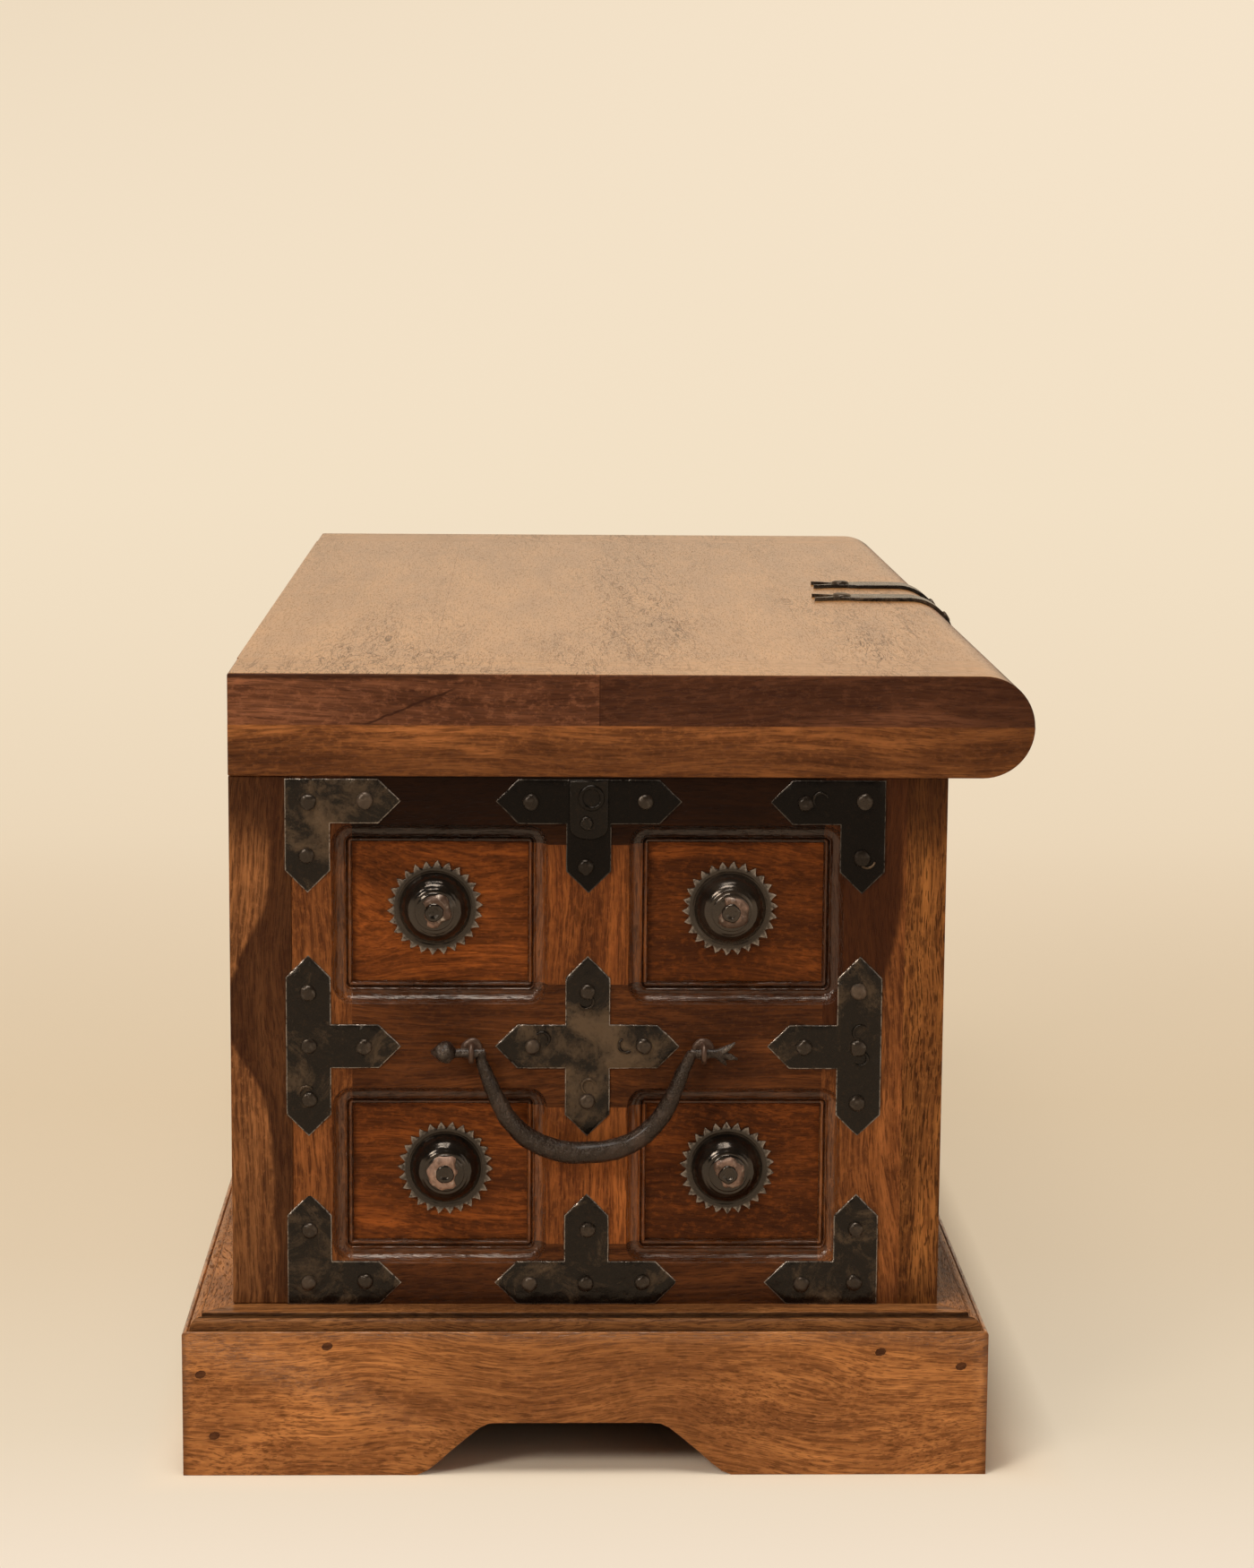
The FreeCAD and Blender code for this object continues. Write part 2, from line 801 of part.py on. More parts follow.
def plate(name, arms, point, turn, reach=None):
    item = new_body(name)
    reach = size("plate_reach") if reach is None else reach
    pad(item, name + "_bar", outline(item, name + "_outline", plate_outline(arms, reach)),
        size("plate_thickness"))
    return place(item, point, turn)


def plates_on(face, point_at, turn, columns, rows):
    """Corner, tee and cross plates on a grid; returns the groups and the nail places."""
    kinds = {2: [], 3: [], 4: []}
    nails = []
    stand = size("plate_thickness")
    for column, across in enumerate(columns):
        for row, up in enumerate(rows):
            arms = [side for side, wanted in ((EAST, column < len(columns) - 1), (NORTH, row < len(rows) - 1),
                                              (WEST, column > 0), (SOUTH, row > 0)) if wanted]
            name = "%s_plate_%d_%d" % (face, column + 1, row + 1)
            kinds[len(arms)].append(plate(name, arms, point_at(across, up, ZERO), turn))
            spots = [turned(size("nail_place"), ZERO, side) for side in arms]
            if len(arms) < 4:
                spots.append((ZERO, ZERO))
            nails += [(point_at(across + right, up + above, stand), turn) for right, above in spots]
    groups = [group("%s_%s_plates" % (face, kind), kinds[arms])
              for arms, kind in ((2, "corner"), (3, "tee"), (4, "cross"))]
    return groups, nails


def on_left(across, up, out):
    """A place on the left end: across grows towards the front."""
    return (left_x - out, centre_y - across, up)


def on_front(across, up, out):
    return (across, front_y - out, up)


rows = (plate_low_z, rail_z, plate_top_z)
left_columns = (size("plate_inset_back") - size("body_width") / 2, ZERO,
                size("body_width") / 2 - size("plate_inset_front"))
left_plates, left_nails = plates_on("left", on_left, LEFT_FACE, left_columns, rows)
end_column = size("body_length") / 2 - size("plate_inset_ends")
muntin_centres = [(front_centres[index] + front_centres[index + 1]) / 2 for index in range(front_count - 1)]
front_columns = [-end_column] + muntin_centres + [end_column]
front_plates, front_nails = plates_on("front", on_front, FRONT_FACE, front_columns, rows)
for item in front_plates:
    node(item)
for item in left_plates[:2]:
    node(item)
    node(mirrored(item.Name.replace("left", "right"), item))
left_cross = left_plates[2]
node(group("end_cross_plates", [left_cross, mirrored("right_cross_plates", left_cross)]))

# ---------------------------------------------------------------- bosses


def boss_master():
    """A toothed iron rosette with a dome and the head of its rivet."""
    teeth = count("boss_teeth")
    rim = new_body("boss_rim_body")
    points = []
    for index in range(teeth):
        for radius, share in ((size("boss_radius"), 0.0), (size("boss_root"), 0.5)):
            angle = 2 * math.pi * (index + share) / teeth
            points.append((radius * math.cos(angle), radius * math.sin(angle)))
    pad(rim, "boss_teeth", outline(rim, "boss_outline", points), size("boss_rim"))
    dome = cap("boss_dome", size("dome_radius"), size("dome_height"), size("boss_rim"))
    rivet = rod("boss_rivet", (ZERO, ZERO, size("boss_rim")), size("rivet_radius"),
                size("dome_height") + size("rivet_height"))
    return join("boss_master", [rim, dome, rivet])


def bosses():
    boss = boss_master()
    sunk = -size("panel_depth")
    drift = size("boss_drift")
    rise = size("boss_rise")
    left = []
    for column, side in enumerate((-1, 1)):
        for row, up in enumerate(row_heights):
            # three of the four stand a little towards the back, the lower one at the back towards the front
            shift = drift if (column, row) == (0, 0) else -drift
            left.append((on_left(end_pitch / 2 * side + shift, up + rise, sunk), LEFT_FACE))
    left_bosses = copies("left_bosses", boss, left)
    node(group("end_bosses", [left_bosses, mirrored("right_bosses", left_bosses)]))
    front = []
    for column, across in enumerate(front_centres):
        for row, up in enumerate(row_heights):
            if (column, row) != ((front_count - 1) // 2, 1):  # the hasp hangs there
                front.append((on_front(across, up, sunk), FRONT_FACE))
    node(copies("front_bosses", boss, front))


bosses()

# ---------------------------------------------------------------- lock staple


def staple():
    wire = size("staple_wire")
    bow = size("staple_radius")
    foot = size("plate_thickness")
    bow_y = front_y - size("staple_reach") + wire + bow
    legs = [rod("staple_%s_leg" % name, (ZERO, front_y - foot, rail_z + bow * side), wire,
                front_y - foot - bow_y, FRONT_FACE) for name, side in (("lower", -1), ("upper", 1))]
    arch = doc.addObject("Part::Torus", "staple_arch")
    bind(arch, "Radius1", bow)
    bind(arch, "Radius2", wire)
    arch.Angle3 = 180
    place(arch, (ZERO, bow_y, rail_z), HALF_RING)
    node(join("hasp_staple", legs + [arch]))
    # its plate fills the rail between the two nearest crosses
    reach = front_pitch / 2 - size("plate_reach") - size("staple_plate_gap")
    node(plate("staple_plate", (EAST, WEST), on_front(ZERO, rail_z, ZERO), FRONT_FACE, reach))
    nail_place = reach - size("staple_nail_inset")
    return [(on_front(nail_place * side, rail_z, foot), FRONT_FACE) for side in (-1, 1)]


staple_nails = staple()

# ---------------------------------------------------------------- bail handles


def handle_eyes():
    """Two ring-headed spikes at the left end; the rings face along Y and the bail passes through them."""
    made = []
    for name, side in (("front", -1), ("back", 1)):
        across = centre_y + size("eye_spacing") / 2 * side
        ring = doc.addObject("Part::Torus", name + "_eye_ring")
        bind(ring, "Radius1", size("eye_ring"))
        bind(ring, "Radius2", size("eye_wire"))
        place(ring, (eye_x, across, handle_z), ALONG_Y)
        shank = rod(name + "_eye_shank", (left_x, across, handle_z), size("eye_wire"),
                    size("eye_stand") - size("eye_ring"), LEFT_FACE)
        rose = rod(name + "_eye_rose", (left_x, across, handle_z), size("eye_rose"), size("plate_thickness"),
                   LEFT_FACE)
        made.append(join(name + "_left_eye", [ring, shank, rose]))
    left = group("left_eyes", made)
    return node(group("handle_eyes", [left, mirrored("right_eyes", left)]))


def bail():
    """A tapered forged bar, half an ellipse, whose ends pass out through the eyes to a pear and a barb."""
    middle = FreeCAD.Vector(eye_x.value, centre_y.value, handle_z.value)
    thin = size("bail_end_radius").value
    thick = size("bail_mid_radius").value
    half_span = size("bail_half_span").value
    drop = size("bail_drop").value
    stub = size("bail_stub").value
    along_y = FreeCAD.Vector(0, 1, 0)
    steps = count("bail_sections")
    sections = []
    for index in range(steps + 1):
        angle = math.pi * index / steps
        point = middle + FreeCAD.Vector(0, half_span * math.cos(angle), -drop * math.sin(angle))
        heading = FreeCAD.Vector(0, -half_span * math.sin(angle), -drop * math.cos(angle))
        radius = thin + (thick - thin) * math.sin(angle)
        sections.append(Part.Wire(Part.makeCircle(radius, point, heading)))
    bar = Part.makeLoft(sections, True)
    pieces = []
    for side in (-1, 1):
        elbow = middle + along_y * (half_span * side)
        pieces.append(Part.makeSphere(thin, elbow))
        pieces.append(Part.makeCylinder(thin, stub - half_span, elbow, along_y * side))
    ball = size("finial_radius").value
    barb = size("barb_radius").value
    belly = size("finial_belly").value
    point = size("finial_length").value - belly
    tip = size("finial_tip").value
    pear_base = middle + along_y * stub
    barb_base = middle - along_y * stub
    pieces.append(Part.makeCone(thin, ball, belly, pear_base, along_y))
    pieces.append(Part.makeCone(ball, tip, point, pear_base + along_y * belly, along_y))
    pieces.append(Part.makeCone(barb, tip, size("barb_length").value, barb_base, -along_y))
    item = doc.addObject("Part::Feature", "left_handle")
    item.Shape = bar.multiFuse(pieces)
    return item


handle_eyes()
left_handle = node(bail())
node(mirrored("right_handle", left_handle))

# ---------------------------------------------------------------- lid


def nosed(name, first, last, rear, upper):
    """A board of one lid layer whose front is a quarter round, from x = first to last, back to y = rear."""
    low = middle_z if upper else lid_z
    flat = box(name + "_flat", (first, nose_y, low), (last, rear, low + size("lid_layer")))
    turn = HALF_RING if upper else LOWER_RING
    round_part = rod(name + "_round", (first, nose_y, middle_z), size("lid_layer"), last - first, turn, 90)
    return join(name, [flat, round_part])


def lid():
    lid_left = left_x - size("lid_end_overhang")
    lid_right = -lid_left
    cap_inner = lid_left + size("cap_width")
    joint_y = centre_y - size("cap_joint")
    left_cap = group("lid_left_cap", [
        nosed("left_cap_front", lid_left, cap_inner, joint_y, True),
        box("left_cap_back", (lid_left, joint_y, middle_z), (cap_inner, back_y, top_z)),
    ])
    node(left_cap)
    node(mirrored("lid_right_cap", left_cap))
    boards = count("lid_board_count")
    nose_front = front_y - size("lid_overhang")
    width = (back_y - nose_front) / boards
    pieces = [nosed("lid_board_1", cap_inner, -cap_inner, nose_front + width, True)]
    for index in range(1, boards):
        start = nose_front + width * index
        pieces.append(box("lid_board_%d" % (index + 1), (cap_inner, start, middle_z),
                          (-cap_inner, start + width, top_z)))
    node(group("lid_boards", pieces))
    lip_inner = lid_left + size("lip_width")
    left_lip = nosed("left_lipping", lid_left, lip_inner, back_y, False)
    node(group("lid_end_lippings", [left_lip, mirrored("right_lipping", left_lip)]))
    front_rear = nose_front + size("front_lip_width")
    node(nosed("lid_front_lipping", lip_inner, -lip_inner, front_rear, False))
    node(box("lid_back_lipping", (lip_inner, back_y - size("lip_width"), lid_z),
             (-lip_inner, back_y, middle_z)))


lid()

# ---------------------------------------------------------------- lid hinges


def leaf(name, point, up, spans):
    """A hinge leaf round a pin at point: up is 1 for the lid's, -1 for the case's; spans are its knuckles."""
    face = -size("hinge_stand")
    thick = size("hinge_leaf")
    edge = (size("knuckle_radius") + size("leaf_gap")) * up
    half = size("plate_width") / 2
    reach = size("plate_reach")
    shoulder = (reach - size("plate_tip")) * up
    blade = new_body(name + "_blade")
    points = ((-half, edge), (half, edge), (half, shoulder), (ZERO, reach * up), (-half, shoulder))
    pad(blade, name + "_plate", outline(blade, name + "_outline", points, "XY_Plane", face), thick)
    place(blade, point, BACK_FACE)
    x, y, z = point
    parts = [blade]
    for index, (start, stop) in enumerate(spans):
        tag = "%s_%d" % (name, index)
        low, high = ((z, z + edge) if up > 0 else (z + edge, z))
        parts.append(box(tag + "_tab", (x + start, y + face, low), (x + stop, y + face + thick, high)))
        parts.append(rod(tag + "_knuckle", (x + start, y, z), size("knuckle_radius"), stop - start, ALONG_X))
    bore = rod(name + "_bore", (x - half, y, z), size("hinge_pin_radius") + size("running_clearance"),
               half * 2, ALONG_X)
    return cut(name, join(name + "_solid", parts), bore)


def hinges():
    knuckle = size("knuckle_width")
    gap = size("knuckle_gap")
    inner = (-knuckle / 2, knuckle / 2)
    far = knuckle / 2 + gap + knuckle
    outer = ((-far, -knuckle / 2 - gap), (knuckle / 2 + gap, far))
    lid_leaves = []
    case_leaves = []
    pins = []
    lid_spots = []
    case_spots = []
    for name, side in (("left", -1), ("right", 1)):
        point = ((right_x - size("hinge_inset")) * side, hinge_y, lid_z)
        lid_leaves.append(leaf(name + "_lid_leaf", point, 1, [inner]))
        case_leaves.append(leaf(name + "_case_leaf", point, -1, outer))
        half = far + gap
        pins.append(rod(name + "_hinge_pin", (point[0] - half, hinge_y, lid_z), size("hinge_pin_radius"),
                        half * 2, ALONG_X))
        stand = back_y + size("hinge_leaf")
        for distance in (size("nail_place"), size("hinge_nail_place")):
            lid_spots.append(((point[0], stand, lid_z + distance), BACK_FACE))
            case_spots.append(((point[0], stand, lid_z - distance), BACK_FACE))
    node(group("hinge_lid_leaves", lid_leaves))
    node(group("hinge_case_leaves", case_leaves))
    node(group("hinge_pins", pins))
    return lid_spots, case_spots


lid_leaf_nails, case_leaf_nails = hinges()

# ---------------------------------------------------------------- hasp


def strap(name, across):
    """A strap along the lid's top, over its nose and round to a knuckle below, with a fishtail behind."""
    half = size("strap_width") / 2
    nose_front = front_y - size("lid_overhang")
    tail = nose_front + size("strap_run")
    neck = tail - size("fishtail_length")
    waist = size("fishtail_waist")
    prong = half - size("fishtail_prong")
    notch = tail - size("fishtail_notch")
    waist_y = (neck + notch) / 2
    run = new_body(name + "_run")
    points = (
        (-half, nose_y), (half, nose_y), (half, neck), (waist, waist_y), (half, tail), (prong, tail),
        (ZERO, notch), (-prong, tail), (-half, tail), (-waist, waist_y), (-half, neck),
    )
    pad(run, name + "_flat", outline(run, name + "_outline", points), strap_thickness)
    place(run, (across, ZERO, top_z))
    outer = rod(name + "_outer", (across - half, nose_y, middle_z), size("lid_layer") + strap_thickness,
                half * 2, HALF_RING, 180)
    inner = rod(name + "_inner", (across - half, nose_y, middle_z), size("lid_layer"), half * 2, HALF_RING)
    wrap = cut(name + "_wrap", outer, inner)
    knuckle = rod(name + "_knuckle", (across - half, nose_y, hasp_pin_z), size("knuckle_radius"), half * 2,
                  ALONG_X)
    bore = rod(name + "_bore", (across - half, nose_y, hasp_pin_z),
               size("hinge_pin_radius") + size("running_clearance"), half * 2, ALONG_X)
    made = cut(name, join(name + "_solid", [run, wrap, knuckle]), bore)
    return made, (across, (neck + waist_y) / 2, top_z)


def hasp():
    straps = []
    nails = []
    spread = size("strap_spacing") / 2
    half = size("strap_width") / 2
    for name, side in (("left", -1), ("right", 1)):
        made, waist = strap(name + "_strap", spread * side)
        straps.append(made)
        x, y, z = waist
        nails.append(((x, y, z + strap_thickness), LEVEL))
        nails.append(((x, nose_y + size("hinge_nail_place"), z + strap_thickness), LEVEL))
    node(group("hasp_straps", straps))
    pin_half = spread + half + size("hasp_pin_end")
    node(rod("hasp_pin", (-pin_half, nose_y, hasp_pin_z), size("hinge_pin_radius"), pin_half * 2, ALONG_X))
    # the hanging plate: a barrel between the straps, a shield, and a tongue whose slot takes the staple
    thick = size("hasp_thickness")
    barrel_half = spread - half - size("knuckle_gap")
    slot_y = rail_z - hasp_pin_z
    neck = -(size("knuckle_radius") + size("hasp_neck"))
    shoulder = size("hasp_shoulder")
    shoulder_y = neck - size("hasp_neck") * 2
    tongue = size("hasp_tongue_width") / 2
    waist_y = shoulder_y - shoulder
    tail_y = slot_y - size("slot_height") / 2 - size("hasp_tail") + size("hasp_tip")
    tip_y = tail_y - size("hasp_tip")
    blade = new_body("hasp_blade")
    points = (
        (-barrel_half, ZERO), (-barrel_half, neck), (-shoulder, shoulder_y), (-tongue, waist_y),
        (-tongue, tail_y), (ZERO, tip_y), (tongue, tail_y),
        (tongue, waist_y), (shoulder, shoulder_y), (barrel_half, neck), (barrel_half, ZERO),
    )
    pad(blade, "hasp_sheet", outline(blade, "hasp_outline", points, "XY_Plane", -thick / 2), thick)
    slot_sketch = outline(blade, "slot_outline", [
        (across, slot_y + up) for across, up in rectangle(size("slot_width") / 2, size("slot_height") / 2)
    ], "XY_Plane", thick)
    pocket(blade, "slot", slot_sketch)
    place(blade, (ZERO, nose_y, hasp_pin_z), FRONT_FACE)
    barrel = rod("hasp_barrel", (-barrel_half, nose_y, hasp_pin_z), size("knuckle_radius"), barrel_half * 2,
                 ALONG_X)
    bore = rod("hasp_bore", (-barrel_half, nose_y, hasp_pin_z),
               size("hinge_pin_radius") + size("running_clearance"), barrel_half * 2, ALONG_X)
    node(cut("hasp_plate", join("hasp_solid", [blade, barrel]), bore))
    return nails


strap_nails = hasp()

# ---------------------------------------------------------------- nails

left_nail_group = copies("left_nails", nail, left_nails)
node(group("plate_nails", [
    left_nail_group,
    mirrored("right_nails", left_nail_group),
    copies("front_nails", nail, front_nails + staple_nails),
    copies("back_nails", nail, case_leaf_nails),
]))
node(copies("lid_nails", nail, strap_nails + lid_leaf_nails))

# ---------------------------------------------------------------- check and write

doc.recompute()
for item in doc.Objects:
    if "Invalid" in item.State or "Error" in item.State:
        raise ValueError("%s failed: %s" % (item.Label, item.State))
os.makedirs("parts", exist_ok=True)
for item in nodes:
    if item.Shape.isNull() or not item.Shape.isValid():
        raise ValueError("%s has no valid shape" % item.Label)
    if not item.Shape.Solids:
        raise ValueError("%s has no solid" % item.Label)
for item in nodes:
    item.Shape.exportStep("parts/%s.step" % item.Label)
print("%d nodes written" % len(nodes))
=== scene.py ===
import math
import random

import bmesh
import bpy
from mathutils import Matrix, Vector, noise


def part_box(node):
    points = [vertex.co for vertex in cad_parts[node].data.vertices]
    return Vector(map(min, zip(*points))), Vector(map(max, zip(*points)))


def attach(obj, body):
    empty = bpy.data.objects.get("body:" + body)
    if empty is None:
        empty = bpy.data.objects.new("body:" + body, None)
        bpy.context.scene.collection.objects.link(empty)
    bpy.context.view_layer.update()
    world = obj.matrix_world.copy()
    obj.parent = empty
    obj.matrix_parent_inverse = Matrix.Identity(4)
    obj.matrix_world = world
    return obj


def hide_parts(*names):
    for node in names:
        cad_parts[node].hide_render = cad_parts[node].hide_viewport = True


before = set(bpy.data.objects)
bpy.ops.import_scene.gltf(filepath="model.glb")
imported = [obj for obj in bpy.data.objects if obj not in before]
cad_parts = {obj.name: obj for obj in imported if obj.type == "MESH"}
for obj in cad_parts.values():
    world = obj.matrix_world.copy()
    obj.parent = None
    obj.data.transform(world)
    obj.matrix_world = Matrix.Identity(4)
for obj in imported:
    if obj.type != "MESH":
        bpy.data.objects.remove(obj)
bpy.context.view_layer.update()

# Shapes are worked out in millimetres in the part's own frame and scaled to metres as they are made.
MM = 0.001


def limits(node):
    low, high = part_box(node)
    return Vector(low) / MM, Vector(high) / MM


LEFT_X = limits("left_top_rail")[0].x
RIGHT_X = -LEFT_X
FRONT_Y = limits("front_top_rail")[0].y
BACK_Y = limits("back_posts")[1].y
CENTRE_Y = (FRONT_Y + BACK_Y) / 2
BASE_Z = limits("left_bottom_rail")[0].z
LID_Z = limits("left_top_rail")[1].z
MIDDLE_Z = limits("lid_front_lipping")[1].z
CAP_LOW, CAP_HIGH = limits("lid_left_cap")
LID_X, CAP_X, NOSE_FRONT, TOP_Z = CAP_LOW.x, CAP_HIGH.x, CAP_LOW.y, CAP_HIGH.z
NOSE_R = TOP_Z - MIDDLE_Z
NOSE_Y = NOSE_FRONT + NOSE_R
# frame boards: their thickness, the heights of the panels' middles and of the middle rail, and between panels
THICK = 22.8
LOWER_Z, UPPER_Z, RAIL_Z = 169.4, 321.8, 245.6
PITCH = 168.3
# half sizes of what the moulding takes in, and of the opening inside it
CELL = (61.35, 51.8)
OPEN = (49.85, 40.3)
# a lid cap's two boards meet here
JOINT_Y = CENTRE_Y - 5.9

# ---------------------------------------------------------------- materials


class Value:
    """A node's output; arithmetic with it adds Math nodes to its tree."""

    def __init__(self, sh, socket):
        self.sh = sh
        self.socket = socket

    def __add__(self, other):
        return self.sh.math("ADD", self, other)

    def __sub__(self, other):
        return self.sh.math("SUBTRACT", self, other)

    def __rsub__(self, other):
        return self.sh.math("SUBTRACT", other, self)

    def __mul__(self, other):
        return self.sh.math("MULTIPLY", self, other)

    def __abs__(self):
        return self.sh.math("ABSOLUTE", self)


class Shader:
    """The node tree of a new material or world, built by short calls."""

    def __init__(self, owner):
        owner.use_nodes = True
        self.owner = owner
        self.tree = owner.node_tree
        self.tree.nodes.clear()

    def add(self, kind, sockets=None, **settings):
        made = self.tree.nodes.new("ShaderNode" + kind)
        for name, value in settings.items():
            setattr(made, name, value)
        for name, value in (sockets or {}).items():
            self.feed(made.inputs[name], value)
        return made

    def feed(self, socket, value):
        """Links a node or value to the socket, or sets it to a constant."""
        if isinstance(value, bpy.types.Node):
            value = value.outputs[0]
        if isinstance(value, Value):
            value = value.socket
        if isinstance(value, bpy.types.NodeSocket):
            self.tree.links.new(value, socket)
        else:
            socket.default_value = value

    def get(self, kind, output=0, sockets=None, **settings):
        return Value(self, self.add(kind, sockets, **settings).outputs[output])

    def math(self, operation, *values):
        return self.get("Math", 0, dict(enumerate(values)), operation=operation)

    def most(self, value, *others):
        for other in others:
            value = self.math("MAXIMUM", value, other)
        return value

    def mix(self, share, first, second):
        made = self.add("Mix", data_type="RGBA")
        for index, value in ((0, share), (6, first), (7, second)):
            self.feed(made.inputs[index], value)
        return made.outputs[2]

    def layers(self, colour, *coats):
        """The colour with (share, colour) coats laid over it in turn."""
        for share, coat in coats:
            colour = self.mix(share, colour, coat)
        return colour

    def ramp(self, value, *stops):
        """A value mapped through (place, grey or colour) stops."""
        made = self.add("ValToRGB", {0: value})
        marks = made.color_ramp.elements
        while len(marks) < len(stops):
            marks.new(0.5)
        for mark, (place, shade) in zip(marks, stops):
            mark.position = place
            mark.color = (shade, shade, shade, 1) if isinstance(shade, (int, float)) else (*shade, 1)
        return Value(self, made.outputs[0])

    def rise(self, value, low, high):
        """0 below low, 1 above high, straight between them."""
        return self.ramp(value, (low, 0), (high, 1))

    def fade(self, value, start, stop):
        """0 at start, 1 at stop, eased between them."""
        return self.get("MapRange", 0, {"Value": value, "From Min": start, "From Max": stop},
                        interpolation_type="SMOOTHSTEP")

    def noise(self, where, scale, detail=3.0, rough=0.55, distortion=0.0, output=0):
        return self.get("TexNoise", output, {
            "Vector": where, "Scale": scale, "Detail": detail, "Roughness": rough, "Distortion": distortion})

    def here(self):
        """The surface point in the part's frame, in metres."""
        return self.add("TexCoord").outputs["Object"]

    def place(self):
        """The surface point in the part's frame, in millimetres: x, y and z."""
        point = self.stretch(self.here(), [1 / MM] * 3)
        return [Value(self, axis) for axis in self.add("SeparateXYZ", {0: point}).outputs]

    def normal(self, axis):
        return self.get("SeparateXYZ", axis, {0: self.add("TexCoord").outputs["Normal"]})

    def sway(self, scale, reach):
        """A wander of up to reach from end to end, about 0."""
        return self.math("MULTIPLY_ADD", self.noise(self.here(), scale, 3.0, 0.6), reach, -reach / 2)

    def stretch(self, where, factors):
        return self.add("VectorMath", {0: where, 1: factors}, operation="MULTIPLY")

    def attribute(self, name):
        return self.get("Attribute", "Fac", attribute_name=name)

    def shown(self):
        """1 for rays that show the setting: from the camera, mirrored or let through."""
        rays = self.add("LightPath").outputs
        return self.most(rays["Is Camera Ray"], rays["Is Glossy Ray"], rays["Is Transmission Ray"])

    def surface(self, colour, rough, height, strength, distance, coat, coat_rough, shine, level, tint,
                metal=0.0):
        """A lacquered surface; level takes the place of the even shine."""
        bump = self.add("Bump", {"Height": height, "Strength": strength, "Distance": distance})
        made = self.add("BsdfPrincipled", {
            "Base Color": colour, "Roughness": rough, "Normal": bump, "Metallic": metal, "Coat Weight": coat,
            "Coat Roughness": coat_rough, "Specular IOR Level": shine, "Specular Tint": (*tint, 1)})
        self.feed(made.inputs["Specular IOR Level"], level)
        return self.finish(made)

    def finish(self, shader):
        kind = "OutputWorld" if isinstance(self.owner, bpy.types.World) else "OutputMaterial"
        self.feed(self.add(kind).inputs["Surface"], shader)
        return self.owner


def shaded(colour, share):
    return [c * share for c in colour[:3]] + [1]


def coordinates(sh, axis):
    """Along the grain, across it and into the wood: the piece's own, or the frame's with axis first."""
    if axis is None:
        return sh.add("Attribute", attribute_name="grain").outputs["Vector"]
    turn = {0: (0, 0, 0), 1: (0, 0, -math.pi / 2), 2: (0, math.pi / 2, 0)}[axis]
    return sh.add("Mapping", {"Vector": sh.here(), "Rotation": turn})


# coat weight of the plain lacquer
FILM = 0.025


def lit_top(sh, colour, light, dark, broad, fibre, mottle, specks):
    """The lid's upper face, as colour and coat: paler colours that paint the light and sheen it catches from
    above, waxed, with crazed and worn marks.
    """
    light, dark = (*light, 1), (*dark, 1)
    worn = shaded(dark, 0.4)
    over = sh.stretch(sh.here(), (0.22, 1.5, 1.0))
    marks = [abs(sh.noise(over, size, 3.0, 0.6, 1.2) - 0.5) for size in (55.0, 150.0)]
    line = sh.ramp(sh.math("MINIMUM", *marks), (0.0, 1), (0.024, 0))
    x, y, z = sh.place()
    corner = sh.fade(x, -300.0, -430.0) * sh.fade(y, 0.0, 120.0)
    gather = sh.ramp(corner * 0.12 + sh.noise(over, 5.0, 3.0, 0.6), (0.46, 0.12), (0.62, 1.0))
    crazed = line * gather
    faint = sh.rise(sh.noise(over, 13.0, 4.0, 0.6, 0.8), 0.52, 0.72)
    lit_face = sh.layers(
        sh.mix(sh.rise(broad, 0.36, 0.68), light, dark), (sh.rise(fibre, 0.5, 0.62) * 0.5, dark),
        (sh.rise(mottle, 0.52, 0.64) * 0.22, dark), (specks * 0.3, worn), (faint * 0.20, worn),
        (crazed, shaded(dark, 0.25)))
    # painted light: the upward face takes the paler colours
    upward = sh.rise(sh.normal("Z"), 0.80, 0.97)
    wax = crazed * -0.50 + faint * -0.06 + 0.66
    return sh.mix(upward, colour, lit_face), upward * wax + FILM


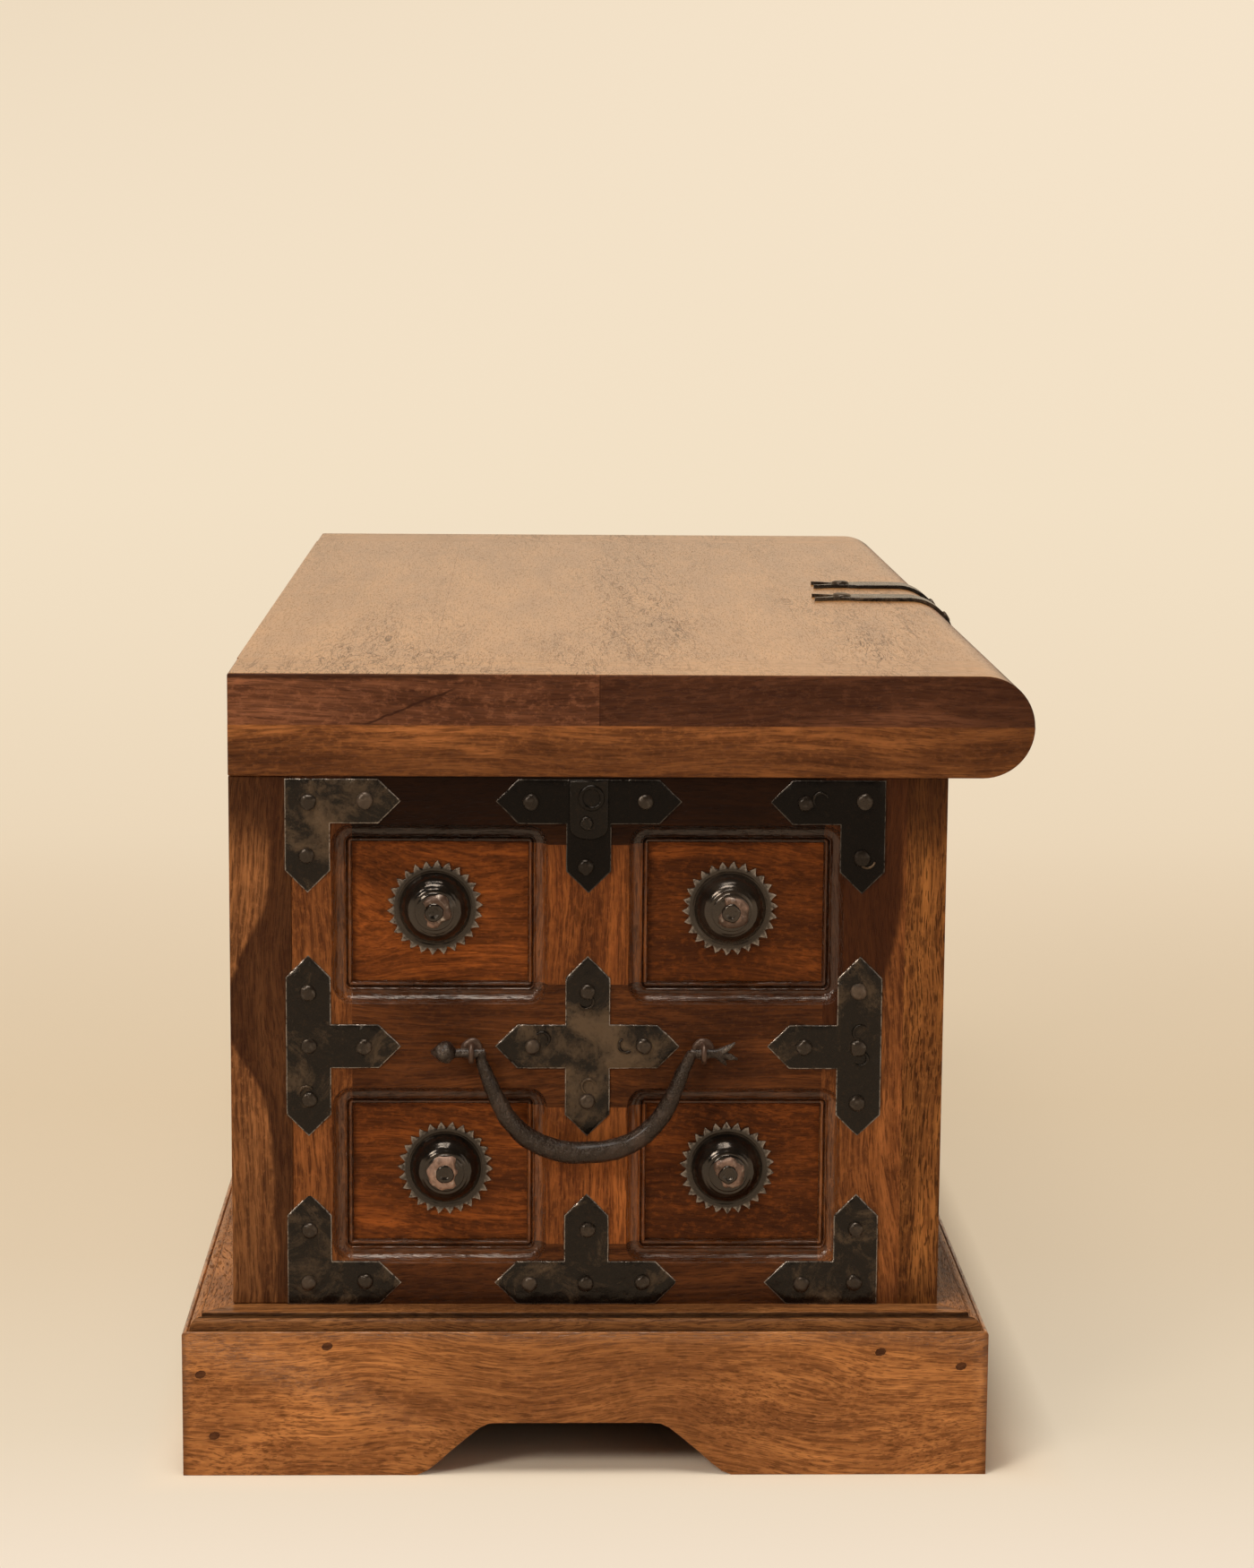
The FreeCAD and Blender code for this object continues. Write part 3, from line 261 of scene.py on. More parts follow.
def wood(name, light, mid, dark, axis=None, heart=0.5, pores=0.3, fibres=0.5, gloss=0.36, shine=0.06,
         waves=1.0, extra=None, top=None):
    """Oiled and lacquered sheesham: heart figure, fibres, short dark pores and a film of lacquer.

    extra(sh) gives a share of dark stain, in places painted shade; top holds the light and dark colours of the
    upper surface, paler to paint the light it catches.
    """
    sh = Shader(bpy.data.materials.new(name))
    light, mid, dark = [(*colour, 1) for colour in (light, mid, dark)]
    where = coordinates(sh, axis)
    drift = sh.noise(sh.stretch(where, (5.5, 9.0, 9.0)), 1.0, 1.5, 0.4, output="Color")
    bent = sh.add("VectorMath", {0: drift, 1: (0.5, 0.5, 0.5)}, operation="SUBTRACT")
    shifted = sh.add("VectorMath", {0: bent, 1: (0.0, 0.04 * waves, 0.04 * waves), 2: where},
                     operation="MULTIPLY_ADD")

    def grain(along, across, detail, rough):
        return sh.noise(sh.stretch(shifted, (along, across, across)), 1.0, detail, rough)

    body = grain(11.0, 210.0, 4.0, 0.6)
    broad = grain(9.0, 42.0, 4.0, 0.62)
    fibre = grain(30.0, 560.0, 2.0, 0.6)
    patch = grain(2.6, 9.0, 3.0, 0.55)
    specks = sh.rise(grain(110.0, 1300.0, 1.0, 0.5), 0.57, 0.61)
    mottle = sh.noise(sh.stretch(where, (220.0, 330.0, 330.0)), 1.0, 3.0, 0.65)
    figure = sh.add("TexWave", {
        "Vector": sh.stretch(shifted, (0.13, 1.0, 1.0)), "Scale": 9.0, "Distortion": 7.0, "Detail": 4.0,
        "Detail Scale": 14.0, "Detail Roughness": 0.6},
                    wave_type="RINGS", rings_direction="X", wave_profile="SAW")
    rings = sh.ramp(figure, (0.35, 0), (0.88, 1), (1.0, 0.2))
    colour = sh.layers(
        sh.mix(sh.rise(body, 0.40, 0.60), mid, light),
        (sh.rise(broad, 0.42, 0.62) * (0.3 + 0.7 * heart), dark), (rings * (0.6 * heart + 0.08), dark),
        (sh.rise(patch, 0.50, 0.62) * heart, dark), (sh.rise(fibre, 0.48, 0.60) * fibres, dark),
        (sh.rise(mottle, 0.50, 0.64) * 0.28, light))
    if extra:
        colour = sh.mix(extra(sh), colour, shaded(dark, 0.7))
    colour = sh.mix(specks * pores, colour, shaded(dark, 0.5))
    colour = sh.add("HueSaturation", {"Color": colour, "Value": sh.attribute("tone") + 1.0})
    # worked edges and mouldings are polished by handling
    edge = sh.attribute("edge")
    rough = mottle * 0.24 + specks * 0.25 + edge * -0.14 + (gloss - 0.12)
    height = specks * -0.8 + fibre * 0.5 + body
    coat = FILM
    if top:
        colour, coat = lit_top(sh, colour, *top, broad, fibre, mottle, specks)
    level = edge * 0.38 + shine
    return sh.surface(colour, rough, height, 0.6, 0.001, coat, 0.3, shine, level, (1.0, 0.89, 0.77))


def iron(name, black, brown, gloss=0.28, wear=0.5, dents=1.0, metal=0.3, shine=0.25, bright=0.6, pits=0.35):
    """Blackened iron: hammer marks, brown patches worn through the black, and bare bright edges.

    The pieces' tone shifts the brown share; one well below zero is painted shade under the lid's overhang,
    which also takes the sheen away.
    """
    sh = Shader(bpy.data.materials.new(name))
    where = sh.here()
    tone = sh.attribute("tone")
    broad = sh.noise(where, 34.0, 5.0, 0.66, 0.8)
    fine = sh.noise(where, 420.0, 4.0, 0.65)
    hammer = sh.add("TexVoronoi", {"Vector": where, "Scale": 150.0, "Smoothness": 0.8}, feature="SMOOTH_F1")
    share = sh.rise(fine * 0.16 + broad + tone, 0.54, 0.76) * wear
    bare = sh.rise(sh.attribute("edge"), 0.60, 0.90) * sh.rise(fine, 0.36, 0.50)
    grime = sh.ramp(fine, (0.30, 1), (0.46, 0))
    # painted shade: a tone well below zero darkens the iron and takes its sheen
    shade_under_lid = sh.fade(tone, -0.2, -0.4)
    colour = sh.layers(
        sh.mix(share, (*black, 1), (*brown, 1)), (bare * bright, (0.50, 0.41, 0.33, 1)),
        (grime * 0.35, (0.035, 0.018, 0.009, 1)), (shade_under_lid * 0.7, (0.003, 0.002, 0.0015, 1)))
    rough = fine * 0.3 + share * 0.22 + bare * -0.1 + (gloss - 0.15)
    height = fine * pits + (broad * 0.8 + hammer)
    return sh.surface(colour, rough, height, 0.5 * dents, 0.0012, 0.3 * shine, 0.2, shine,
                      shade_under_lid * (-0.7 * shine) + shine, (1.0, 0.80, 0.61), bare * 0.5 + metal)


# what follows gives shares of dark stain, and in places of painted shade


def on_ends(sh):
    """1 on the faces that look along X, 0 on the others."""
    return sh.fade(abs(sh.normal("X")), 0.4, 0.9)


def outside(sh):
    """1 on upright faces that look away from the middle of the case, 0 on its inner and upper faces."""
    x, y, z = sh.place()
    away = sh.normal("X") * x + sh.normal("Y") * (y - CENTRE_Y)
    return sh.fade(away, 0.0, 60.0) * sh.fade(sh.normal("Z"), 0.9, 0.5)


def lid_shadow_and_stain(sh):
    """Painted shade with stain below the lid's overhang, and a darkening just above the plinth."""
    x, y, z = sh.place()
    level = z + sh.sway(30.0, 24.0)
    return sh.most(sh.fade(level, 338.0, 385.0) * 0.85, sh.fade(level, 122.0, 96.0) * 0.5) * outside(sh)


def flame(sh):
    """Dark heartwood beside two pale lobes that meet at a knot, on the ends of the back posts."""
    x, y, z = sh.place()
    near = sh.math("DIVIDE", z - 268.0, 44.0)
    pinch = sh.math("EXPONENT", near * near * -1.0)
    inward = sh.noise(sh.here(), 26.0, 3.0, 0.55) * 13.0 + (BACK_Y - y)
    past = inward - (pinch * -27.0 + 30.0)
    shade = sh.most(sh.fade(past, -1.5, 2.0) * 0.8, sh.fade(z, 225.0, 120.0) * 0.44)
    # with the painted shade and stain below the lid
    return sh.most(shade * on_ends(sh), lid_shadow_and_stain(sh))


def end_stain(sh):
    """A dark upper half on the stiles towards the front, narrowing as it comes down."""
    x, y, z = sh.place()
    sway = sh.sway(24.0, 30.0)
    upper = sh.fade(z + sway, 216.0, 258.0) * sh.fade(y, -100.0, -130.0)
    border = sh.fade(z, 335.0, 215.0) * 26.0 + (CENTRE_Y - 179.0)
    inner = sh.fade(sway * 0.25 + y - border, -2.5, 2.5)
    # with the painted shade and stain below the lid
    return sh.most(upper * inner * 0.9, lid_shadow_and_stain(sh))


def cap_marks(sh):
    """The lid's ends: a slanting shake and a dark strip behind the middle, a darker board before it."""
    x, y, z = sh.place()
    sway = sh.sway(90.0, 3.0)
    off = (y - 88.9) * 0.404 + (z - 450.7) + sway
    shake = sh.fade(abs(off), 1.0, 0.3) * (sh.fade(y, 84.0, 92.0) * sh.fade(y, 141.0, 134.0))
    strip = sh.fade(z + sway, 455.0, 457.5) * sh.fade(y, 82.0, 88.0)
    joint = sh.fade(abs(y - JOINT_Y), 0.7, 0.2) * 0.9
    front = sh.fade(y, -165.0, -222.0) * 0.18 + sh.fade(y, JOINT_Y + 0.6, JOINT_Y - 0.6) * 0.6
    on_cap = sh.fade(abs(x), -LID_X - 60.0, -LID_X - 58.0)
    return sh.most(sh.most(shake, strip, joint) * 0.85, front) * on_cap


def lip_shade(sh):
    """The lower lipping is pale just under the joint and darker below and towards the nose."""
    x, y, z = sh.place()
    sway = sh.noise(sh.stretch(sh.here(), (14.0, 14.0, 70.0)), 1.0, 4.0, 0.6) * 26.0 - 13.0
    nose = sh.fade(y, -60.0, -222.0) * on_ends(sh) * 0.52
    return sh.most(nose, sh.fade(z + sway, 424.0, 412.0) * 0.42)


def plinth_shade(sh):
    """The boards are darker about their middle, and the ends' outer corners carry painted shade of their
    rounding.
    """
    x, y, z = sh.place()
    across = abs(y - CENTRE_Y)
    middle = sh.fade(across + sh.sway(9.0, 90.0), 165.0, 45.0) * 0.36
    # painted shade along the ends' rounded outer corners
    return sh.most(middle, sh.fade(across, 226.0, 230.0) * on_ends(sh) * 0.6)


# the frame, post and rail woods carry painted shade with stain below the lid
FRAME_WOOD = wood("frame_wood", (0.37, 0.112, 0.026), (0.22, 0.062, 0.015), (0.050, 0.014, 0.005), heart=0.3,
                  fibres=0.6, extra=lid_shadow_and_stain)
STILE_WOOD = wood("stile_wood", (0.36, 0.120, 0.032), (0.22, 0.070, 0.018), (0.050, 0.014, 0.005), heart=0.35,
                  fibres=0.6, extra=end_stain)
POST_WOOD = wood("post_wood", (0.40, 0.148, 0.036), (0.25, 0.085, 0.021), (0.055, 0.017, 0.005), heart=0.4,
                 pores=0.7, fibres=0.6, extra=lid_shadow_and_stain)
BACK_POST_WOOD = wood("back_post_wood", (0.45, 0.178, 0.058), (0.29, 0.108, 0.034), (0.040, 0.012, 0.005),
                      heart=0.25, fibres=0.55, extra=flame)
RAIL_WOOD = wood("rail_wood", (0.150, 0.046, 0.012), (0.095, 0.029, 0.008), (0.022, 0.007, 0.003),
                 extra=lid_shadow_and_stain)
PANEL_WOOD = wood("panel_wood", (0.31, 0.080, 0.014), (0.175, 0.045, 0.009), (0.045, 0.013, 0.004), heart=0.6,
                  waves=1.6)
PLINTH_WOOD = wood("plinth_wood", (0.59, 0.235, 0.070), (0.415, 0.158, 0.046), (0.140, 0.047, 0.015),
                   heart=0.35, pores=0.5, fibres=0.6, waves=2.2, extra=plinth_shade)
# the lid's top colours are paler, painted light and sheen on its upper face
LID_WOOD = wood("lid_wood", (0.38, 0.142, 0.062), (0.25, 0.090, 0.038), (0.050, 0.016, 0.007), heart=0.55,
                waves=0.6, extra=cap_marks, top=((0.48, 0.215, 0.060), (0.36, 0.155, 0.042)))
LIP_WOOD = wood("lid_lip_wood", (0.42, 0.150, 0.042), (0.24, 0.082, 0.023), (0.060, 0.019, 0.007), heart=0.45,
                waves=0.6, extra=lip_shade)
INSIDE_WOOD = {axis: wood("inside_wood_%s" % "xyz"[axis], (0.40, 0.16, 0.05), (0.26, 0.09, 0.027),
                          (0.09, 0.027, 0.009), axis=axis, gloss=0.55, shine=0.2) for axis in range(3)}
PEG_WOOD = wood("peg_wood", (0.16, 0.062, 0.024), (0.11, 0.042, 0.016), (0.05, 0.017, 0.007))
PLATE_IRON = iron("plate_iron", (0.0055, 0.0042, 0.0032), (0.155, 0.096, 0.052), gloss=0.24, shine=0.30,
                  wear=0.6, bright=0.55, dents=1.8)
NAIL_IRON = iron("nail_iron", (0.022, 0.015, 0.010), (0.115, 0.076, 0.050), wear=0.75, dents=0.7, shine=0.38,
                 bright=0.2)
BOSS_IRON = iron("boss_iron", (0.009, 0.0068, 0.005), (0.052, 0.036, 0.024), gloss=0.10, wear=0.4, dents=0.5,
                 shine=0.62, bright=0.4)
RUSTY_IRON = iron("rusty_iron", (0.070, 0.038, 0.025), (0.36, 0.215, 0.150), gloss=0.34, wear=1.0, shine=0.4,
                  bright=1.0, dents=1.5)
FORGED_IRON = iron("forged_iron", (0.014, 0.0075, 0.005), (0.066, 0.037, 0.024), wear=0.9, dents=2.0,
                   shine=0.5, bright=0.35, pits=1.3)
PIN_STEEL = iron("pin_steel", (0.03, 0.026, 0.022), (0.16, 0.13, 0.10), gloss=0.30, metal=0.8, shine=0.5)

# ---------------------------------------------------------------- making pieces


def linked(name, data):
    """A new object in the scene."""
    made = bpy.data.objects.new(name, data)
    bpy.context.scene.collection.objects.link(made)
    return made


def as_mesh(name, shape):
    """The shape as a mesh; the shape is used up."""
    mesh = bpy.data.meshes.new(name)
    shape.to_mesh(mesh)
    shape.free()
    return mesh


class Piece:
    """Gathers shapes in millimetres; make() turns them into one object that rides on a body."""

    def __init__(self, seed):
        self.chance = random.Random(seed)
        self.bm = bmesh.new()
        self.grain = self.bm.verts.layers.float_vector.new("grain")
        self.edge = self.bm.verts.layers.float.new("edge")
        self.tone = self.bm.verts.layers.float.new("tone")

    def add(self, shape, matrix=None, along=None, spread=0.10, detail=None):
        """Takes a shape's vertices and faces; along is the axis that the grain follows, before the matrix.

        detail(place) gives a vertex's own change of tone and its edge wear, or None to keep the shape's.
        """
        offset = Vector([self.chance.uniform(-1, 1) for _ in range(3)]) * 0.9
        if along is not None:
            offset = Vector((offset.x * 3, offset.y * 0.13, offset.z * 0.13 + 0.05))
        tone = self.chance.uniform(-spread, spread)
        order = {None: (0, 1, 2), 0: (0, 1, 2), 1: (1, 0, 2), 2: (2, 1, 0)}[along]
        edges = shape.verts.layers.float.get("edge")
        made = []
        for index, old in enumerate(shape.verts):
            old.index = index
            change, wear = detail(old.co) if detail else (0.0, None)
            new = self.bm.verts.new(matrix @ old.co if matrix else old.co)
            new[self.grain] = Vector([old.co[i] for i in order]) * MM + offset
            new[self.tone] = tone + change
            new[self.edge] = wear if wear is not None else old[edges] if edges else 0.0
            made.append(new)
        for face in shape.faces:
            try:
                self.bm.faces.new([made[v.index] for v in face.verts])
            except ValueError:
                continue
        shape.free()

    def make(self, name, material, body, slot, *nodes, bevel=0.0, segments=2, smooth=40, arris=None):
        """arris(a, b) says whether the edge between two points is rounded; by default all sharp ones are."""
        sharp = math.radians(35)
        bmesh.ops.recalc_face_normals(self.bm, faces=self.bm.faces)
        if arris:
            weight = self.bm.edges.layers.float.new("bevel_weight_edge")
            for line in self.bm.edges:
                turned = line.is_manifold and line.calc_face_angle() > sharp
                line[weight] = 1.0 if turned and arris(line.verts[0].co, line.verts[1].co) else 0.0
        self.bm.transform(Matrix.Scale(MM, 4))
        mesh = as_mesh(name, self.bm)
        for face in mesh.polygons:
            face.use_smooth = True
        mesh.set_sharp_from_angle(angle=math.radians(smooth))
        mesh.materials.append(material)
        made = linked(name, mesh)
        if bevel:
            rounding = made.modifiers.new("arris", "BEVEL")
            rounding.width = bevel * MM
            rounding.segments = segments
            rounding.limit_method = "WEIGHT" if arris else "ANGLE"
            rounding.angle_limit = sharp
            rounding.harden_normals = True
        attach(made, body)
        if nodes:
            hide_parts(*nodes)


def box(low, high):
    shape = bmesh.new()
    bmesh.ops.create_cube(shape, size=1.0)
    for v in shape.verts:
        v.co = Vector([low[i] + (v.co[i] + 0.5) * (high[i] - low[i]) for i in range(3)])
    return shape


def strips(rings, caps=True):
    """Faces between closed rings of points, all of one length, and over the first and last of them."""
    shape = bmesh.new()
    rows = [[shape.verts.new(p) for p in ring] for ring in rings]
    count = len(rows[0])
    for a, b in zip(rows, rows[1:]):
        for i in range(count):
            j = (i + 1) % count
            shape.faces.new((a[i], a[j], b[j], b[i]))
    if caps:
        shape.faces.new(list(reversed(rows[0])))
        shape.faces.new(rows[-1])
    return shape


def spokes(count):
    """The cosine and sine of each of count even steps round a circle."""
    return [(math.cos(2 * math.pi * i / count), math.sin(2 * math.pi * i / count)) for i in range(count)]


def lathe(profile, segments, wobble=0.0, seed=0.0):
    """A turned shape about local Z from (radius, height) pairs; a radius may be a function of the step."""
    rings = []
    for radius, height in profile:
        ring = []
        for i, (cosine, sine) in enumerate(spokes(segments)):
            out = Vector((cosine, sine, 0))
            reach = radius(i) if callable(radius) else radius
            reach += wobble * noise.noise(out * 1.3 + Vector((seed, height * 0.3, 0))) * min(1, reach)
            ring.append(out * reach + Vector((0, 0, height)))
        rings.append(ring)
    return strips(rings)


def smooth_line(points, steps):
    """Points along a Catmull-Rom curve, with every coordinate carried."""
    made = []
    ends = [points[0]] + list(points) + [points[-1]]
    for i in range(1, len(ends) - 2):
        for t in [s / steps for s in range(steps)]:
            made.append([0.5 * (2 * b + (c - a) * t + (2 * a - 5 * b + 4 * c - d) * t * t
                                + (3 * b - a - 3 * c + d) * t ** 3)
                         for a, b, c, d in zip(*ends[i - 1:i + 3])])
    return made + [list(points[-1])]


def tube(line, segments=16, uneven=0.0, seed=0.0):
    """A bar along (x, y, z, radius) points."""
    rings = []
    for i, (x, y, z, radius) in enumerate(line):
        here = Vector((x, y, z))
        before = Vector(line[max(i - 1, 0)][:3])
        after = Vector(line[min(i + 1, len(line) - 1)][:3])
        heading = (after - before).normalized()
        side = heading.cross(Vector((0, 0, 1)))
        side = side.normalized() if side.length > 1e-3 else Vector((1, 0, 0))
        other = heading.cross(side)
        ring = []
        for cosine, sine in spokes(segments):
            spoke = side * cosine + other * sine
            bump = uneven * noise.noise((here + spoke * radius) * 0.16 + Vector((seed, 0, 0)))
            ring.append(here + spoke * (radius + bump))
        rings.append(ring)
    return strips(rings)


def hoop(radius, wire, steps, lift=0.0):
    """A closed ring of wire in the plane y = 0."""
    rings = []
    for cosine, sine in spokes(steps):
        middle = Vector((radius * cosine, 0, radius * sine + lift))
        out = middle.normalized()
        rings.append([middle + (out * c + Vector((0, s, 0))) * wire for c, s in spokes(10)])
    shape = strips(rings + rings[:1], caps=False)
    bmesh.ops.remove_doubles(shape, verts=shape.verts, dist=0.001)
    return shape


def rub(shape, scale, base, reach, seed=0.0, above=-math.inf):
    """Edge wear in patches, on the points above a height."""
    edge = shape.verts.layers.float.new("edge")
    for v in shape.verts:
        if v.co.z > above:
            v[edge] = base + reach * noise.noise(v.co * scale + Vector((seed, 0, 0)))


def merged(shapes):
    """Several shapes in one."""
    whole = shapes[0]
    for shape in shapes[1:]:
        mesh = as_mesh("part", shape)
        whole.from_mesh(mesh)
        bpy.data.meshes.remove(mesh)
    return whole


def carved(shape, cutter):
    """shape less cutter; both are used up."""
    objects = []
    for piece in (shape, cutter):
        bmesh.ops.recalc_face_normals(piece, faces=piece.faces)
        objects.append(linked("carving", as_mesh("carving", piece)))
    cut = objects[0].modifiers.new("cut", "BOOLEAN")
    cut.object = objects[1]
    cut.operation = "DIFFERENCE"
    cut.solver = "EXACT"
    result = bmesh.new()
    result.from_object(objects[0], bpy.context.evaluated_depsgraph_get())
    for made in objects:
        mesh = made.data
        bpy.data.objects.remove(made)
        bpy.data.meshes.remove(mesh)
    bmesh.ops.remove_doubles(result, verts=result.verts, dist=0.005)
    return result


def facing(across, up, out, origin):
    """From a face's own coordinates (to the right, up, out of it) to the part's frame."""
    return Matrix((*zip(across, up, out, origin), (0, 0, 0, 1)))


FACES = {
    "left": facing((0, -1, 0), (0, 0, 1), (-1, 0, 0), (LEFT_X, CENTRE_Y, 0)),
    "right": facing((0, -1, 0), (0, 0, 1), (1, 0, 0), (RIGHT_X, CENTRE_Y, 0)),
    "front": facing((1, 0, 0), (0, 0, 1), (0, -1, 0), (0, FRONT_Y, 0)),
    "back": facing((-1, 0, 0), (0, 0, 1), (0, 1, 0), (0, BACK_Y, 0)),
}


def spot(face, across, up, out=0.0, turn=0.0):
    """A place on a face, with the outline turned about the way out."""
    return FACES[face] @ Matrix.Translation((across, up, out)) @ Matrix.Rotation(turn, 4, "Z")


# ---------------------------------------------------------------- panelled frames

# the routed moulding round a panel, from its outer arris inwards: distance in, and depth
MOULDING = (
    (0.0, 0.0), (0.55, -0.7), (0.9, -2.2), (1.7, -4.1), (2.9, -5.6), (4.4, -6.7), (6.0, -7.1), (7.1, -6.8),
    (7.6, -6.3), (7.95, -6.6), (8.1, -8.4), (8.6, -8.9), (9.0, -8.1), (9.7, -7.6), (10.5, -7.8), (11.1, -8.6),
    (11.5, -9.8), (11.5, -11.6),
)
CORNER_R = 11.0
INNER, PANEL_FACE, PANEL_REAR, REBATE = 11.5, -11.5, -19.5, 5.5
# the top rail is darker by its stain and by painted shade under the lid's overhang
RAIL_TONES = {"bottom": 0.0, "middle": -0.05, "top": -0.55}


def cell_cutter(across, up, half):
    """What the moulding and the opening take out of a frame round one panel."""
    steps = 7
    rings = []
    for inset, depth in ((0.0, 4.0),) + MOULDING + ((INNER, -THICK - 4.0),):
        radius = max(CORNER_R - inset, 0.12)
        ring = []
        for quadrant, (sx, sy) in enumerate(((1, 1), (-1, 1), (-1, -1), (1, -1))):
            cx, cy = sx * (half[0] - inset - radius), sy * (half[1] - inset - radius)
            for i in range(steps + 1):
                angle = math.pi / 2 * (quadrant + i / steps)
                x, y = across + cx + radius * math.cos(angle), up + cy + radius * math.sin(angle)
                ring.append((x, y, depth))
        rings.append(ring)
    return strips(rings)


def moulded(base, inside=0.0):
    """Tone and wear of a frame board: its moulding is darker, partly lacquer gathered there and partly painted
    shade, darkest in the quirks with painted shade, and polished.
    """
    def detail(place):
        depth = -place.z
        if depth > 20.0:
            return inside, 0.0
        if depth < 0.3 or depth > 11.7:
            return base, 0.0
        # painted shade: darker in the cove, darkest in the deep quirk and the drop to the panel
        return base - (0.55 if depth > 8.25 else 0.16) * (1 + base), 1.0
    return detail


def framed(side, columns, bounds, seed):
    """Stiles, rails, muntins and panels of one panelled face; bounds are its first and last place across."""
    rows = (LOWER_Z, UPPER_Z)
    first = columns[0] - OPEN[0]
    last = columns[-1] + OPEN[0]

    def board(piece, low, high, along, base=0.0, inside=0.0):
        near = [(c, r) for c in columns for r in rows
                if low[0] - CELL[0] < c < high[0] + CELL[0] and low[1] - CELL[1] < r < high[1] + CELL[1]]
        cutters = merged([cell_cutter(c, r, CELL) for c, r in near])
        shape = carved(box((*low, -THICK), (*high, 0.0)), cutters)
        piece.add(shape, FACES[side], along, detail=moulded(base, inside))

    stiles = Piece(seed)
    for low, high in ((bounds[0], first), (last, bounds[1])):
        board(stiles, (low, BASE_Z), (high, LID_Z), 1)
    stiles.make(side + "_stile_boards", POST_WOOD if side == "front" else STILE_WOOD, "case", "frame_wood",
                side + "_stiles", bevel=0.35)
    levels = (("bottom", BASE_Z, LOWER_Z - OPEN[1]), ("middle", LOWER_Z + OPEN[1], UPPER_Z - OPEN[1]),
              ("top", UPPER_Z + OPEN[1], LID_Z))
    for index, (name, low, high) in enumerate(levels):
        rail = Piece(seed + 1 + index)
        board(rail, (first, low), (last, high), 0, RAIL_TONES[name], 0.6)
        rail.make("%s_%s_rail_board" % (side, name), RAIL_WOOD, "case", "frame_wood",
                  "%s_%s_rail" % (side, name), bevel=0.35)
    muntins = Piece(seed + 5)
    for a, b in zip(columns, columns[1:]):
        for row in rows:
            board(muntins, (a + OPEN[0], row - OPEN[1]), (b - OPEN[0], row + OPEN[1]), 1)
    muntins.make(side + "_muntin_boards", FRAME_WOOD, "case", "frame_wood", side + "_muntins", bevel=0.35)
    panels = Piece(seed + 6)
    half_x, half_y = OPEN[0] + REBATE, OPEN[1] + REBATE
    for c in columns:
        for row in rows:
            low, high = (c - half_x, row - half_y, PANEL_REAR), (c + half_x, row + half_y, PANEL_FACE)
            panels.add(box(low, high), FACES[side], 0)
    panels.make(side + "_panel_boards", PANEL_WOOD, "case", "panel_wood", side + "_panels", bevel=0.5)


POST_DEPTH = 35.4
END_BOUNDS = (-(BACK_Y - POST_DEPTH - CENTRE_Y), CENTRE_Y - FRONT_Y - THICK)
framed("left", (-PITCH / 2, PITCH / 2), END_BOUNDS, 100)
framed("right", (-PITCH / 2, PITCH / 2), END_BOUNDS, 120)
framed("front", [PITCH * i for i in range(-2, 3)], (LEFT_X, RIGHT_X), 150)

posts = Piece(11)
low, high = limits("back_posts")
for x0, x1 in ((low.x, low.x + THICK), (high.x - THICK, high.x)):
    posts.add(box((x0, low.y, low.z), (x1, high.y, high.z)), None, 2)
posts.make("back_post_boards", BACK_POST_WOOD, "case", "frame_wood", "back_posts", bevel=1.2, segments=3)

# ---------------------------------------------------------------- lid


def layer(rear, upper, first, last):
    """One of the lid's two layers from first to last along x: square behind, a quarter round in front."""
    steps = 14
    sign = 1 if upper else -1
    outline = []
    for i in range(steps + 1):
        angle = math.pi / 2 * i / steps
        outline.append((NOSE_Y - NOSE_R * math.cos(angle), MIDDLE_Z + sign * NOSE_R * math.sin(angle)))
    outline += [(rear, TOP_Z if upper else LID_Z), (rear, MIDDLE_Z)]
    return strips([[(x, y, z) for y, z in outline] for x in (first, last)])


def cap_arris(a, b):
    """The cap's outer edges, except where it meets the lower layer."""
    return max(abs(a.x), abs(b.x)) > -LID_X - 1.0 and max(a.z, b.z) > MIDDLE_Z + 0.1


for number, (side, first, last) in enumerate((("left", LID_X, CAP_X), ("right", -CAP_X, -LID_X))):
    cap = Piece(200 + number)
    cap.add(layer(BACK_Y, True, first, last), None, 1)
    cap.make("lid_%s_cap_boards" % side, LID_WOOD, "lid", "lid_wood", "lid_%s_cap" % side, bevel=1.5,
             segments=4, arris=cap_arris)
boards = Piece(210)
width = (BACK_Y - NOSE_FRONT) / 4
boards.add(layer(NOSE_FRONT + width, True, CAP_X, -CAP_X), None, 0)
for index in range(1, 4):
    start = NOSE_FRONT + width * index
    boards.add(box((CAP_X, start, MIDDLE_Z), (-CAP_X, start + width, TOP_Z)), None, 0)
boards.make("lid_top_boards", LID_WOOD, "lid", "lid_wood", "lid_boards", bevel=0.08, segments=1)
# inner edge of the end lippings, and how far the front and back ones reach in
LIP_X = LID_X + 60
FRONT_LIP, BACK_LIP = 96, 60


def lipping(name, seed, along, shapes, node, **rounding):
    """Boards of the lid's lower layer that stand for one node."""
    piece = Piece(seed)
    for shape in shapes:
        piece.add(shape, None, along)
    piece.make(name, LIP_WOOD, "lid", "lid_lip_wood", node, **rounding)


